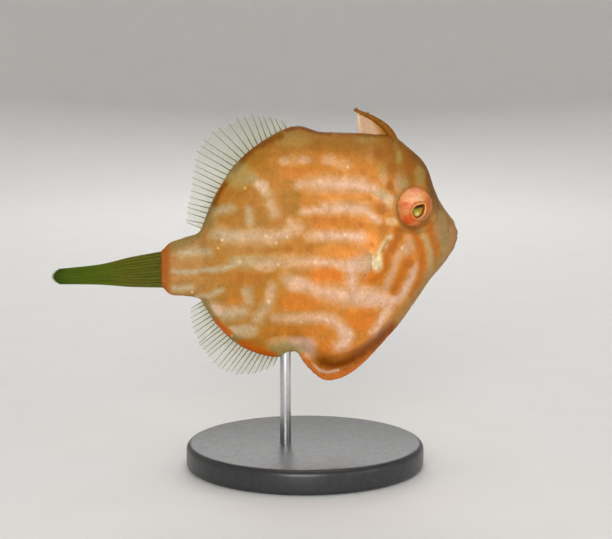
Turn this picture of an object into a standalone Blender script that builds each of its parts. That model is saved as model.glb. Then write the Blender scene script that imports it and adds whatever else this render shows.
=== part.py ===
"""Southern pygmy leatherjacket, life size, swimming level above a plain round display stand.

Metres, +Z up, the snout towards +X, so the fish's right side faces -Y. The origin is the centre of
the base's underside. Every size of the fish is in millimetres from a datum in the middle of its
body, in the plane that halves it, and an empty at that datum carries its parts.
"""

import math
from collections import namedtuple

import bmesh
import bpy
from mathutils import Matrix, Vector
from mathutils.bvhtree import BVHTree

MM = 0.001
GAP = 0.3  # left between parts that touch
SHARP = math.radians(40)  # edges that turn more than this are shaded as corners
REACH = 60.0  # past every part of the fish, for the blocks that cut it

# Stand
BASE_RADIUS = 24.0
BASE_HEIGHT = 5.0
BASE_EDGE_ROUND = 1.2
ROD_RADIUS = 1.1
ROD_FOOT = 1.6  # height of the rod's lower end, inside the base
ROD_DEPTH = 4.0  # length of the rod inside the belly
ROD_X = -6.0  # behind the ventral flap, from the datum
HOLE_OVERRUN = 3.0  # how far the holes' cutters pass the surfaces they open
DATUM = Vector((2.0, 0.0, 45.0))  # from the origin

# Body outline and thickness, from the tail to the lips. Each station joins a point of the back to
# a point of the belly.
Station = namedtuple("Station", "top bottom half_width")
STATIONS = {
    "caudal base": Station((-30.4, -0.2), (-30.4, -8.0), 0.9),
    "stalk rear": Station((-29.0, 1.1), (-28.8, -9.2), 1.5),
    "stalk middle": Station((-26.2, 1.9), (-25.9, -9.6), 2.0),
    "stalk front": Station((-23.2, 3.2), (-23.2, -10.3), 2.6),
    "disc rear": Station((-21.8, 6.2), (-21.8, -12.5), 3.3),
    "soft fins low": Station((-19.8, 10.6), (-19.8, -15.6), 4.3),
    "soft fins middle": Station((-16.6, 15.6), (-16.1, -19.3), 5.3),
    "soft fins high": Station((-12.2, 19.7), (-11.4, -21.8), 6.1),
    "soft fins front": Station((-7.2, 22.7), (-7.2, -22.5), 6.6),
    "hump": Station((-3.2, 23.8), (-4.0, -21.6), 6.9),
    "flap rear": Station((1.0, 22.6), (-1.4, -24.9), 7.0),
    "flap lowest": Station((6.0, 22.4), (2.5, -27.7), 6.9),
    "flap front": Station((11.1, 22.1), (7.6, -26.2), 6.7),
    "spine base": Station((15.8, 21.5), (13.0, -21.5), 6.3),
    "brow": Station((19.8, 18.5), (17.6, -16.1), 5.8),
    "forehead": Station((22.7, 15.5), (20.9, -11.5), 5.2),
    "nose bridge": Station((24.1, 11.4), (23.8, -7.4), 4.4),
    "muzzle rear": Station((25.8, 8.0), (26.3, -4.6), 3.4),
    "lips": Station((28.3, 4.6), (28.4, -1.5), 2.1),
}
SNOUT_CAP = 1.15  # rounded end in front of the lips station
RIM_POWER = 0.62  # 0.5 makes the sections ellipses, more makes the edges sharper
MUZZLE_POWER = 0.5
MUZZLE_STATIONS = (15.0, 17.5)  # station numbers between which the sections change to the muzzle's
ALONG = 60  # facets of the body
AROUND = 22
CAP_RINGS = 4
EDGE_SAMPLES = 400  # points read along an edge of the body

# Ventral flap: a thin keel below the crease under the belly
CREASE_LOWEST = (3.0, -25.1)
CREASE_REAR_BEND = 0.10  # rise for each square millimetre forward or back of the lowest point
CREASE_FRONT_BEND = 0.041
CREASE_ENDS = (-3.6, 17.5)
CREASE_GAP = 1.2  # what the gap along the crease is widened by, as the crease is steep at its ends
FLAP_HALF_WIDTH = 0.65
FLAP_EDGE_POWER = 0.12  # roundness of the flap's edge
FLAP_START = (-6.6, 5.0)  # where the flap begins behind, and the length over which it does
FLAP_FADE = (13.0, 6.0)  # the same where it ends in front
FLAP_BLEND = (0.3, 4.2)  # depth below the crease where the flap starts to widen, and over what height

# Raised forms of the flanks: centre x, z, radii, height
Swelling = namedtuple("Swelling", "x z rx rz height")
SWELL_EDGE = 0.55  # the raised forms fade where the body is thinner than this share of its thickness
SWELLINGS = (
    Swelling(10.9, -2.6, 2.1, 2.6, 0.75),  # pad of the pectoral fin
    Swelling(28.2, 3.1, 1.5, 0.95, 0.55),  # upper lip
    Swelling(28.2, -0.3, 1.5, 0.85, 0.50),  # lower lip
    Swelling(17.5, -7.0, 5.0, 6.0, 0.45),  # cheek
)

# Eye
EYE = Vector((18.9, 4.4, 7.8))  # y is the distance from the middle plane
EYE_RADII = (4.0, 3.1, 4.1)
ORBIT_RIM = 0.5  # height of the rim round the socket
ORBIT_RIM_WIDTH = 1.3
ORBIT_RIM_PLACE = 1.06  # its crest, as a share of the eye's radii
PUPIL_SHIFT = (0.6, -0.65)
PUPIL_RADII = (1.5, 1.7)
PUPIL_DISH = (0.3, 0.9)  # how far its centre stands out of the globe, and its half depth
CORNEA = (0.85, 0.6)  # how far its centre lies in the globe, and its half depth
CORNEA_SHARE = 0.75  # of the pupil's radii

# Head details
NOSTRILS = ((24.2, 8.6), (24.8, 7.4))
NOSTRIL_RADIUS = 0.38
NOSTRIL_DEPTH = 0.6
MOUTH_SLIT = Vector((29.6, 0.0, 1.35))
MOUTH_SLIT_RADII = (2.4, 3.4, 0.27)
GILL_SLIT = (12.9, 0.4)
GILL_SLIT_RADII = (0.5, 1.4, 1.9)
GILL_SLIT_LEAN = 28.0  # degrees forward at its top

# Where thin cuts part the flesh
MOUTH_CUT = ((27.3, 8.5), (26.6, 4.0), (26.2, 0.0), (25.6, -7.0))
HEAD_CUT = ((7.6, 27.0), (9.4, 16.0), (11.6, 7.0), (12.4, 0.0), (12.4, -6.0), (13.4, -13.0), (15.2, -24.0))
STALK_CUT = ((-22.9, 8.0), (-22.1, 0.0), (-22.1, -7.0), (-22.9, -15.0))

# Fins
FIN_RAY = (0.45, 0.25)  # half thickness of a ray at its root and its tip
FIN_WEB = (0.26, 0.22)  # half thickness of the membrane there
FLANK = 0.24  # where a ray's flank meets the membrane, as a share of the way to the next ray
SCALLOP = 0.93  # the membrane's share of a ray's length
FIN_ROWS = 4
FIN_WAVES = 2.2  # waves along a soft fin

DORSAL_RAYS = 26
DORSAL_BASE = (8.35, 3.25)  # station numbers at its front and its end
DORSAL_HEIGHTS = (1.8, 3.6, 5.4, 6.8, 7.8, 7.5, 6.4, 5.4, 4.6, 3.9, 2.8)
DORSAL_LEANS = (12, -6, -14, -8, 6, 10, 8, 4, 4, 6, 8)  # degrees back from square to the edge
DORSAL_WAVE = 0.8

ANAL_RAYS = 24
ANAL_BASE = (7.85, 3.3)
ANAL_HEIGHTS = (1.8, 3.6, 4.9, 5.6, 5.9, 5.8, 5.4, 4.9, 4.3, 3.5, 2.4)
ANAL_LEANS = (20, 16, 12, 10, 8, 6, 4, 2, 0, 0, 2)
ANAL_WAVE = 0.7

CAUDAL_RAYS = 12
CAUDAL_ROOT_X = -30.4 - GAP
CAUDAL_ROOT_Z = (-0.5, -7.8)
CAUDAL_WAIST = (-42.8, -2.9, -6.9)  # x, upper z, lower z where the folded fin is narrowing
CAUDAL_TIP_X = -50.9
CAUDAL_TIP_Z = (-3.6, -6.6)
CAUDAL_TIP_ROUND = 1.3
CAUDAL_ROWS = 6
CAUDAL_RAY = (0.6, 0.28)  # half thickness at the root and the tip
CAUDAL_WEB = (0.4, 0.22)
CAUDAL_MIDDLE = 0.52  # a point of each ray, as a share of the way from its root to the waist
CAUDAL_BULGE = 0.16  # how far the folded fin's edges bow out there
CAUDAL_FOLDS = (0.25, 1.5)  # depth and number of its shallow folds

PECTORAL_RAYS = 11
PECTORAL_ROOT = (10.0, -2.7)
PECTORAL_ROOT_SPAN = 2.8
PECTORAL_LENGTH = 6.6
PECTORAL_FAN = (38.0, -42.0)  # degrees above straight back, for the top and the bottom ray
PECTORAL_SPLAY = 38.0  # degrees out from the flank
PECTORAL_ROWS = 3
PECTORAL_RAY = (0.4, 0.25)
PECTORAL_SUNK = 1.3  # length of its root before the body trims it
PECTORAL_CUP = 0.5
PECTORAL_ROUND = (0.78, 0.22, 0.15, 0.75)  # share of the length at the edges, gain, and phase of its arc

SPINE_PATH = ((16.2, 20.4), (15.3, 22.1), (14.2, 23.4), (12.9, 24.4), (11.4, 25.3), (9.7, 26.1), (7.9, 26.9))
SPINE_RADII = (0.85, 0.8, 0.72, 0.62, 0.52, 0.42, 0.28)
SPINE_WEB_REAR = ((9.0, 20.5), (8.7, 23.4), (8.5, 26.0))
SPINE_BARBS = ((4.4, 1), (5.1, -1), (5.7, 1))  # place along the path, and 1 in front or -1 behind
BARB_LENGTH = 0.7
BARB_RADII = (0.26, 0.2, 0.1)
BARB_LEAN = (0.45, 0.8)  # share of its length that a barb goes out and along
BARB_SUNK = 0.3  # share of the spine's radius where a barb starts

Finish = namedtuple("Finish", "colour roughness metallic")
FINISHES = {
    "skin": Finish((0.62, 0.26, 0.06), 0.45, 0.0),
    "eye": Finish((0.72, 0.24, 0.07), 0.25, 0.0),
    "clear_fin": Finish((0.30, 0.33, 0.14), 0.35, 0.0),
    "tail_fin": Finish((0.16, 0.21, 0.03), 0.4, 0.0),
    "spine": Finish((0.55, 0.2, 0.05), 0.45, 0.0),
    "base": Finish((0.03, 0.03, 0.032), 0.35, 0.0),
    "rod": Finish((0.6, 0.6, 0.6), 0.3, 1.0),
}


def clear_scene():
    for obj in list(bpy.data.objects):
        bpy.data.objects.remove(obj, do_unlink=True)


def new_collection(name, shown=True):
    made = bpy.data.collections.new(name)
    bpy.context.scene.collection.children.link(made)
    made.hide_render = not shown
    return made


def material(name):
    finish = FINISHES[name]
    made = bpy.data.materials.get(name) or bpy.data.materials.new(name)
    made.use_nodes = True
    shader = made.node_tree.nodes["Principled BSDF"]
    shader.inputs["Base Color"].default_value = (*finish.colour, 1.0)
    shader.inputs["Roughness"].default_value = finish.roughness
    shader.inputs["Metallic"].default_value = finish.metallic
    return made


def smoothstep(value):
    t = min(max(value, 0.0), 1.0)
    return t * t * (3 - 2 * t)


def spline(points, t):
    """A Catmull-Rom curve through points, numbered from 0, at the number t."""
    points = [Vector(p) if hasattr(p, "__len__") else Vector((p, 0.0)) for p in points]
    last = len(points) - 1
    i = min(max(int(t), 0), last - 1)
    f = t - i
    b, c = points[i], points[i + 1]
    a = points[i - 1] if i else b * 2 - c
    d = points[i + 2] if i + 2 <= last else c * 2 - b
    return 0.5 * (
        b * 2 + (c - a) * f + (a * 2 - b * 5 + c * 4 - d) * f * f + (b * 3 - a - c * 3 + d) * f**3
    )


def value_along(values, share):
    return spline(values, share * (len(values) - 1))[0]


def side_vector(x, z, y=0.0):
    return Vector((x, y, z))


TOPS = [s.top for s in STATIONS.values()]
BOTTOMS = [s.bottom for s in STATIONS.values()]
HALF_WIDTHS = [s.half_width for s in STATIONS.values()]
LAST_STATION = len(STATIONS) - 1


def crease_height(x):
    """Height of the crease between the belly and the flap, straight on past its front end."""
    x0, z0 = CREASE_LOWEST
    bend = CREASE_FRONT_BEND if x > x0 else CREASE_REAR_BEND
    inner = min(x, CREASE_ENDS[1])
    slope = 2 * bend * (inner - x0)
    return z0 + bend * (inner - x0) ** 2 + slope * (x - inner)


def flap_share(x, z):
    """1 on the thin flap, 0 on the full belly."""
    start, rise = FLAP_START
    fade, fall = FLAP_FADE
    in_range = smoothstep((x - start) / rise) * (1 - smoothstep((x - fade) / fall))
    steep = math.hypot(1.0, 2 * CREASE_FRONT_BEND * (x - CREASE_LOWEST[0]))
    above = (z - crease_height(x)) / steep
    below, height = FLAP_BLEND
    return in_range * (1 - smoothstep((above + below) / height))


def orbit_height(x, z):
    """A low ring round the eye."""
    away = math.hypot((x - EYE.x) / EYE_RADII[0], (z - EYE.z) / EYE_RADII[2])
    off = (away - ORBIT_RIM_PLACE) * EYE_RADII[0] / ORBIT_RIM_WIDTH
    return ORBIT_RIM * math.exp(-off * off)


def swelling_height(x, z):
    total = orbit_height(x, z)
    for s in SWELLINGS:
        total += s.height * math.exp(-(((x - s.x) / s.rx) ** 2) - ((z - s.z) / s.rz) ** 2)
    return total


def rim_power(station):
    first, last = MUZZLE_STATIONS
    return RIM_POWER + (MUZZLE_POWER - RIM_POWER) * smoothstep((station - first) / (last - first))


def body_point(station, v):
    """A point of the left flank: v runs from -1 on the belly edge to 1 on the back edge."""
    top = spline(TOPS, station)
    bottom = spline(BOTTOMS, station)
    x, z = bottom.lerp(top, (v + 1) / 2)
    profile = (1 - v * v) ** rim_power(station)
    full = spline(HALF_WIDTHS, station)[0] * profile
    thin = FLAP_HALF_WIDTH * (1 - v * v) ** FLAP_EDGE_POWER if profile else 0.0
    share = flap_share(x, z)
    y = full * (1 - share) + min(thin, full) * share
    y += swelling_height(x, z) * smoothstep(profile / SWELL_EDGE) * (1 - share)
    return side_vector(x, z, y)


def body_rings():
    """Closed rings of points round the body, from the tail to the tip of the snout."""
    levels = [-math.cos(math.pi * j / AROUND) for j in range(AROUND + 1)]
    rings = []
    for i in range(ALONG + 1):
        station = LAST_STATION * i / ALONG
        left = [body_point(station, v) for v in levels]
        right = [Vector((p.x, -p.y, p.z)) for p in left[1:-1]]
        rings.append(left + right[::-1])
    lips = rings[-1]
    middle = (lips[0] + lips[AROUND]) / 2
    for k in range(1, CAP_RINGS):
        angle = math.pi / 2 * k / CAP_RINGS
        forward = Vector((SNOUT_CAP * math.sin(angle), 0, 0))
        rings.append([middle + (p - middle) * math.cos(angle) + forward for p in lips])
    return rings, middle + Vector((SNOUT_CAP, 0, 0))


def object_from_bmesh(name, made, collection, finish=None, smooth=True):
    bmesh.ops.recalc_face_normals(made, faces=made.faces)
    mesh = bpy.data.meshes.new(name)
    made.to_mesh(mesh)
    made.free()
    if smooth:
        mesh.shade_smooth()
    obj = bpy.data.objects.new(name, mesh)
    collection.objects.link(obj)
    if finish:
        mesh.materials.append(material(finish))
    if collection.hide_render:
        obj.hide_render = True
        obj.display_type = "WIRE"
    return obj


def loft_body():
    """The whole body as one closed skin, in a bmesh."""
    rings, tip = body_rings()
    made = bmesh.new()
    rows = [[made.verts.new(p * MM) for p in ring] for ring in rings]
    around = len(rows[0])
    for near, far in zip(rows, rows[1:]):
        for j in range(around):
            k = (j + 1) % around
            made.faces.new((near[j], near[k], far[k], far[j]))
    for end, point in ((rows[0], None), (rows[-1], tip)):
        middle = point if point else sum((v.co for v in end), Vector()) / around / MM
        apex = made.verts.new(middle * MM)
        for j in range(around):
            made.faces.new((end[j], end[(j + 1) % around], apex))
    bmesh.ops.recalc_face_normals(made, faces=made.faces)
    return made


def grow(made, distance):
    made.normal_update()
    moved = [(v, v.co + v.normal * distance * MM) for v in made.verts]
    for v, place in moved:
        v.co = place
    return made


def flank_at(body, x, z):
    """Distance of the body's flank from the middle plane."""
    points = [v.co for v in body.data.vertices]
    tree = BVHTree.FromPolygons(points, [p.vertices for p in body.data.polygons])
    hit = tree.ray_cast(side_vector(x, z, REACH) * MM, Vector((0, -1, 0)))[0]
    return hit.y / MM


def flank_below(x):
    """Height of the belly's edge at x, behind the flap."""
    edge = smooth_line(BOTTOMS, EDGE_SAMPLES)
    return min(edge, key=lambda p: abs(p.x - x)).y


def shifted(line, distance):
    """A downward line moved forwards."""
    points = [Vector(p) for p in line]
    out = []
    for i, p in enumerate(points):
        along = (points[min(i + 1, len(points) - 1)] - points[max(i - 1, 0)]).normalized()
        out.append(p + Vector((-along.y, along.x)) * distance)
    return out


def smooth_line(points, count):
    return [spline(points, (len(points) - 1) * i / count) for i in range(count + 1)]


def block(name, outline, cutters, half_depth=REACH / 4):
    """A slab across the body: outline is drawn in the middle plane."""
    made = bmesh.new()
    corners = [made.verts.new(side_vector(x, z, -half_depth) * MM) for x, z in outline]
    near = made.faces.new(corners)
    far = bmesh.ops.extrude_face_region(made, geom=[near])["geom"]
    moved = [v for v in far if isinstance(v, bmesh.types.BMVert)]
    bmesh.ops.translate(made, vec=side_vector(0, 0, 2 * half_depth) * MM, verts=moved)
    return object_from_bmesh(name, made, cutters, smooth=False)


def front_and_rear_blocks(name, line, cutters):
    """A block that fills all in front of a downward cut and one for all behind it, each half a gap
    past it."""
    made = []
    for title, reach, past in (("ahead", REACH, -GAP / 2), ("behind", -REACH, GAP / 2)):
        edge = shifted(smooth_line(line, 12), past)
        high = [(reach, REACH), (edge[0].x, REACH)]
        low = [(edge[-1].x, -REACH), (reach, -REACH)]
        made.append(block(f"{name}_{title}", [*high, *edge, *low], cutters))
    return made


def flap_block(name, side, cutters):
    """All below the crease. side is 1 for the block that clears the belly and -1 for the flap's own."""
    rear, front = CREASE_ENDS
    inset = side * GAP / 2
    count = 24
    xs = [rear - inset + (front + inset - rear + inset) * i / count for i in range(count + 1)]
    line = [Vector((x, crease_height(x) + inset * CREASE_GAP)) for x in xs]
    return block(name, [*line, (xs[-1], -REACH), (xs[0], -REACH)], cutters)


def ellipsoid(name, centre, radii, collection, finish=None, segments=20, rings=12, lean=0.0):
    made = bmesh.new()
    bmesh.ops.create_uvsphere(made, u_segments=segments, v_segments=rings, radius=1.0)
    scale = Matrix.Diagonal((*[r * MM for r in radii], 1.0))
    turn = Matrix.Rotation(math.radians(lean), 4, "Y")
    place = Matrix.Translation(Vector(centre) * MM)
    bmesh.ops.transform(made, matrix=place @ turn @ scale, verts=made.verts)
    return object_from_bmesh(name, made, collection, finish)


def cut(obj, cutter, operation="DIFFERENCE"):
    modifier = obj.modifiers.new(f"{operation.lower()} {cutter.name}", "BOOLEAN")
    modifier.operation = operation
    modifier.object = cutter


def settle(obj):
    """Applies the modifiers and keeps only the largest closed surface."""
    bpy.context.view_layer.update()
    graph = bpy.context.evaluated_depsgraph_get()
    mesh = bpy.data.meshes.new_from_object(obj.evaluated_get(graph))
    obj.modifiers.clear()
    obj.data = mesh
    made = bmesh.new()
    made.from_mesh(mesh)
    made.verts.ensure_lookup_table()
    loose = set(made.verts)
    surfaces = []
    while loose:
        found = {loose.pop()}
        reached = list(found)
        while reached:
            vert = reached.pop()
            new = {edge.other_vert(vert) for edge in vert.link_edges} - found
            found |= new
            reached += new
        loose -= found
        surfaces.append(found)
    largest = max(surfaces, key=len)
    bmesh.ops.delete(made, geom=[v for v in made.verts if v not in largest], context="VERTS")
    made.to_mesh(mesh)
    made.free()
    mesh.set_sharp_from_angle(angle=SHARP)
    return obj


def join(obj, pieces):
    """One union of an object and closed pieces, which it uses up."""
    group = bpy.data.collections.new("joined to " + obj.name)
    bpy.context.scene.collection.children.link(group)
    for piece in pieces:
        move_to(piece, group)
    modifier = obj.modifiers.new("joined", "BOOLEAN")
    modifier.operation = "UNION"
    modifier.operand_type = "COLLECTION"
    modifier.collection = group
    settle(obj)
    for piece in pieces:
        bpy.data.objects.remove(piece, do_unlink=True)
    bpy.data.collections.remove(group)
    return obj


def flesh_nodes(body_mesh, parts, cutters):
    """The head, mouth, trunk, tail stalk and flap, parted by thin cuts."""
    head_ahead, head_behind = front_and_rear_blocks("head_cut", HEAD_CUT, cutters)
    mouth_ahead, mouth_behind = front_and_rear_blocks("mouth_cut", MOUTH_CUT, cutters)
    stalk_ahead, stalk_behind = front_and_rear_blocks("stalk_cut", STALK_CUT, cutters)
    belly_clear = flap_block("below_belly", 1, cutters)
    flap_own = flap_block("flap_room", -1, cutters)
    plan = {
        "head": (head_behind, mouth_ahead),
        "mouth": (mouth_behind,),
        "trunk": (head_ahead, stalk_behind, belly_clear),
        "tail_stalk": (stalk_ahead,),
        "ventral_flap": (head_ahead,),
    }
    nodes = {}
    for name, blocks in plan.items():
        obj = bpy.data.objects.new(name, body_mesh.copy())
        obj.data.materials.append(material("skin"))
        parts.objects.link(obj)
        for cutter in blocks:
            cut(obj, cutter)
        nodes[name] = obj
    cut(nodes["ventral_flap"], flap_own, "INTERSECT")
    return nodes


def cut_head_details(nodes, whole, cutters):
    """Eye sockets, nostrils, the line of the mouth and the gill slits."""
    for side, sign in (("right", -1), ("left", 1)):
        centre = Vector((EYE.x, sign * EYE.y, EYE.z))
        socket = ellipsoid(f"socket_{side}", centre, [r + GAP for r in EYE_RADII], cutters)
        cut(nodes["head"], socket)
        for number, (x, z) in enumerate(NOSTRILS):
            y = sign * flank_at(whole, x, z)
            size = (NOSTRIL_RADIUS, NOSTRIL_DEPTH, NOSTRIL_RADIUS)
            pit = ellipsoid(f"nostril_{side}_{number}", (x, y, z), size, cutters, segments=8, rings=6)
            cut(nodes["head"], pit)
        x, z = GILL_SLIT
        y = sign * flank_at(whole, x, z)
        name = f"gill_slit_{side}"
        centre = (x, y, z)
        slit = ellipsoid(
            name, centre, GILL_SLIT_RADII, cutters, segments=10, rings=10, lean=GILL_SLIT_LEAN
        )
        cut(nodes["head"], slit)
        cut(nodes["trunk"], slit)
    gape = ellipsoid("gape", MOUTH_SLIT, MOUTH_SLIT_RADII, cutters, segments=16, rings=6)
    cut(nodes["mouth"], gape)


def eye(side, sign, parts, cutters):
    """A domed eye covered with skin, with a shallow dish and a small cornea at the pupil."""
    centre = Vector((EYE.x, sign * EYE.y, EYE.z))
    globe = ellipsoid(f"eye_{side}", centre, EYE_RADII, parts, "eye")
    dx, dz = PUPIL_SHIFT
    out = math.sqrt(1 - (dx / EYE_RADII[0]) ** 2 - (dz / EYE_RADII[2]) ** 2) * EYE_RADII[1]
    front = centre + Vector((dx, sign * out, dz))
    rx, rz = PUPIL_RADII
    dish_at = front + Vector((0, sign * PUPIL_DISH[0], 0))
    dish_size = (rx, PUPIL_DISH[1], rz)
    dish = ellipsoid(f"pupil_dish_{side}", dish_at, dish_size, cutters, segments=12, rings=8)
    cornea_at = front - Vector((0, sign * CORNEA[0], 0))
    cornea_size = (rx * CORNEA_SHARE, CORNEA[1], rz * CORNEA_SHARE)
    cornea = ellipsoid(f"cornea_{side}", cornea_at, cornea_size, cutters, segments=12, rings=8)
    cut(globe, dish)
    return join(settle(globe), [cornea])


def fin_solid(name, rays, rows, ray_half, web_half, wave, finish, parts):
    """A membrane with raised rays. rays holds, for each ray, a function from 0 at its root to 1 at
    its tip that gives the point and the side direction there. Both faces have the same triangles."""
    columns = []
    for i in range(len(rays)):
        columns.append((i, 0.0))
        if i + 1 < len(rays):
            columns += [(i, FLANK), (i, 1 - FLANK)]
    made = bmesh.new()
    faces = ([], [])
    for i, f in columns:
        reach = 1.0 if f == 0.0 else SCALLOP
        column = ([], [])
        for r in range(rows):
            t = reach * r / (rows - 1)
            point, side = rays[i](t)
            if f:
                other, other_side = rays[i + 1](t)
                point = point.lerp(other, f)
                side = side.lerp(other_side, f).normalized()
            ends = web_half if f else ray_half
            half = ends[0] + (ends[1] - ends[0]) * t
            point = point + side * wave((i + f) / (len(rays) - 1), t)
            for face, sign in enumerate((-1, 1)):
                column[face].append(made.verts.new((point + side * half * sign) * MM))
        for face in (0, 1):
            faces[face].append(column[face])
    for grid in faces:
        for a, b in zip(grid, grid[1:]):
            for r in range(rows - 1):
                made.faces.new((a[r], a[r + 1], b[r + 1]))
                made.faces.new((a[r], b[r + 1], b[r]))
    rim = [(c, 0) for c in range(len(columns))]
    rim += [(len(columns) - 1, r) for r in range(1, rows)]
    rim += [(c, rows - 1) for c in range(len(columns) - 2, -1, -1)]
    rim += [(0, r) for r in range(rows - 2, 0, -1)]
    for (c, r), (c2, r2) in zip(rim, rim[1:] + rim[:1]):
        near, near2 = faces[0][c][r], faces[0][c2][r2]
        far, far2 = faces[1][c][r], faces[1][c2][r2]
        made.faces.new((near, near2, far2))
        made.faces.new((near, far2, far))
    return object_from_bmesh(name, made, parts, finish)


def edge_fin(name, edge, base, count, heights, leans, wave, sign, parts):
    """A soft fin along the back or the belly. sign is 1 for the back and -1 for the belly."""
    samples = EDGE_SAMPLES // 2
    step = 3
    numbers = [base[0] + (base[1] - base[0]) * k / samples for k in range(samples + 1)]
    line = [spline(edge, n) for n in numbers]
    lengths = [0.0]
    for p, q in zip(line, line[1:]):
        lengths.append(lengths[-1] + (q - p).length)
    rays = []
    for i in range(count):
        share = i / (count - 1)
        k = max(j for j in range(samples) if lengths[j] <= share * lengths[-1] + 1e-6)
        along = (line[min(k + step, samples)] - line[max(k - step, 0)]).normalized()
        out = Vector((along.y, -along.x)) * sign
        lean = math.radians(value_along(leans, share)) * sign
        root = line[k] + out * GAP
        turn = Matrix.Rotation(lean, 2)
        tip = root + turn @ out * value_along(heights, share)
        rays.append(flat_ray(root, tip))

    def sway(share, t):
        return wave * t * math.sin(2 * math.pi * FIN_WAVES * share)

    return fin_solid(name, rays, FIN_ROWS, FIN_RAY, FIN_WEB, sway, "clear_fin", parts)


def flat_ray(root, tip):
    """A straight ray in the middle plane."""
    side = Vector((0, 1, 0))
    return lambda t: (side_vector(*root.lerp(tip, t)), side)


def caudal_fin(parts):
    """The folded tail fin: its rays lie close together and narrow to a round tip."""
    side = Vector((0, 1, 0))

    def ray(share):
        off = 2 * share - 1
        root = Vector((CAUDAL_ROOT_X, CAUDAL_ROOT_Z[0] + (CAUDAL_ROOT_Z[1] - CAUDAL_ROOT_Z[0]) * share))
        waist = Vector((CAUDAL_WAIST[0], CAUDAL_WAIST[1] + (CAUDAL_WAIST[2] - CAUDAL_WAIST[1]) * share))
        tip_x = CAUDAL_TIP_X - CAUDAL_TIP_ROUND * (1 - off * off)
        tip = Vector((tip_x, CAUDAL_TIP_Z[0] + (CAUDAL_TIP_Z[1] - CAUDAL_TIP_Z[0]) * share))
        path = (root, root.lerp(waist, CAUDAL_MIDDLE) - Vector((0, CAUDAL_BULGE * off)), waist, tip)
        return lambda t: (side_vector(*spline(path, 3 * t)), side)

    def folds(share, t):
        depth, count = CAUDAL_FOLDS
        return depth * math.sin(2 * math.pi * count * share) * 2 * t * (1 - t)

    rays = [ray(i / (CAUDAL_RAYS - 1)) for i in range(CAUDAL_RAYS)]
    return fin_solid("caudal_fin", rays, CAUDAL_ROWS, CAUDAL_RAY, CAUDAL_WEB, folds, "tail_fin", parts)


def pectoral_fin(side_name, sign, flank, parts, clearance):
    """A small fan behind the gill slit, splayed out from its pad."""
    x, z = PECTORAL_ROOT
    splay = math.radians(PECTORAL_SPLAY)
    outward = Vector((-math.cos(splay), sign * math.sin(splay), 0))
    side = Vector((math.sin(splay), sign * math.cos(splay), 0))
    rays = []
    for i in range(PECTORAL_RAYS):
        share = i / (PECTORAL_RAYS - 1)
        angle = math.radians(PECTORAL_FAN[0] + (PECTORAL_FAN[1] - PECTORAL_FAN[0]) * share)
        direction = outward * math.cos(angle) + Vector((0, 0, math.sin(angle)))
        shortest, gain, phase, span = PECTORAL_ROUND
        length = PECTORAL_LENGTH * (shortest + gain * math.sin(math.pi * (phase + span * share)))
        base = side_vector(x, z + PECTORAL_ROOT_SPAN * (0.5 - share), sign * flank)
        root = base - direction * PECTORAL_SUNK
        tip = base + direction * length
        rays.append(lambda t, root=root, tip=tip: (root.lerp(tip, t), side))

    def cup(share, t):
        return PECTORAL_CUP * t * t * math.sin(math.pi * share)

    name = "pectoral_fin_" + side_name
    fin = fin_solid(name, rays, PECTORAL_ROWS, PECTORAL_RAY, FIN_WEB, cup, "clear_fin", parts)
    cut(fin, clearance)
    return settle(fin)


def tube(name, path, radii, collection, finish=None, sides=10):
    """A round tube along a path in the middle plane, narrowing with it, as a closed mesh."""
    made = bmesh.new()
    rings = []
    count = 2 * (len(path) - 1)
    for i in range(count + 1):
        t = (len(path) - 1) * i / count
        point = spline(path, t)
        ahead = spline(path, min(t + 0.05, len(path) - 1))
        behind = spline(path, max(t - 0.05, 0))
        along = (ahead - behind).normalized()
        across = Vector((-along.y, along.x))
        radius = spline(radii, t)[0]
        ring = []
        for j in range(sides):
            angle = 2 * math.pi * j / sides
            flat = point + across * radius * math.cos(angle)
            ring.append(made.verts.new(side_vector(flat.x, flat.y, radius * math.sin(angle)) * MM))
        rings.append(ring)
    for a, b in zip(rings, rings[1:]):
        for j in range(sides):
            k = (j + 1) % sides
            made.faces.new((a[j], a[k], b[k], b[j]))
    made.faces.new(rings[0][::-1])
    made.faces.new(rings[-1])
    return object_from_bmesh(name, made, collection, finish)


def dorsal_spine(parts, cutters, clearance):
    """The first dorsal fin: a stout spine, barbed near its tip, and a sail of skin behind it."""
    spine = tube("dorsal_spine", SPINE_PATH, SPINE_RADII, parts, "spine")
    sail_rear = smooth_line(SPINE_WEB_REAR, 4)
    sail_front = smooth_line(SPINE_PATH, 8)
    sail = block("spine_sail", [*sail_rear, *sail_front[::-1]], cutters, half_depth=FIN_WEB[0])
    pieces = [sail]
    for t, edge in SPINE_BARBS:
        point = spline(SPINE_PATH, t)
        along = (spline(SPINE_PATH, t + 0.05) - spline(SPINE_PATH, t - 0.05)).normalized()
        out = Vector((along.y, -along.x)) * edge
        radius = spline(SPINE_RADII, t)[0]
        start = point + out * radius * BARB_SUNK
        end = point + out * (radius + BARB_LENGTH * BARB_LEAN[0]) + along * BARB_LENGTH * BARB_LEAN[1]
        path = (start, start.lerp(end, 0.5), end)
        pieces.append(tube(f"spine_barb_{t}", path, BARB_RADII, cutters, sides=6))
    join(spine, pieces)
    cut(spine, clearance)
    return settle(spine)


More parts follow.
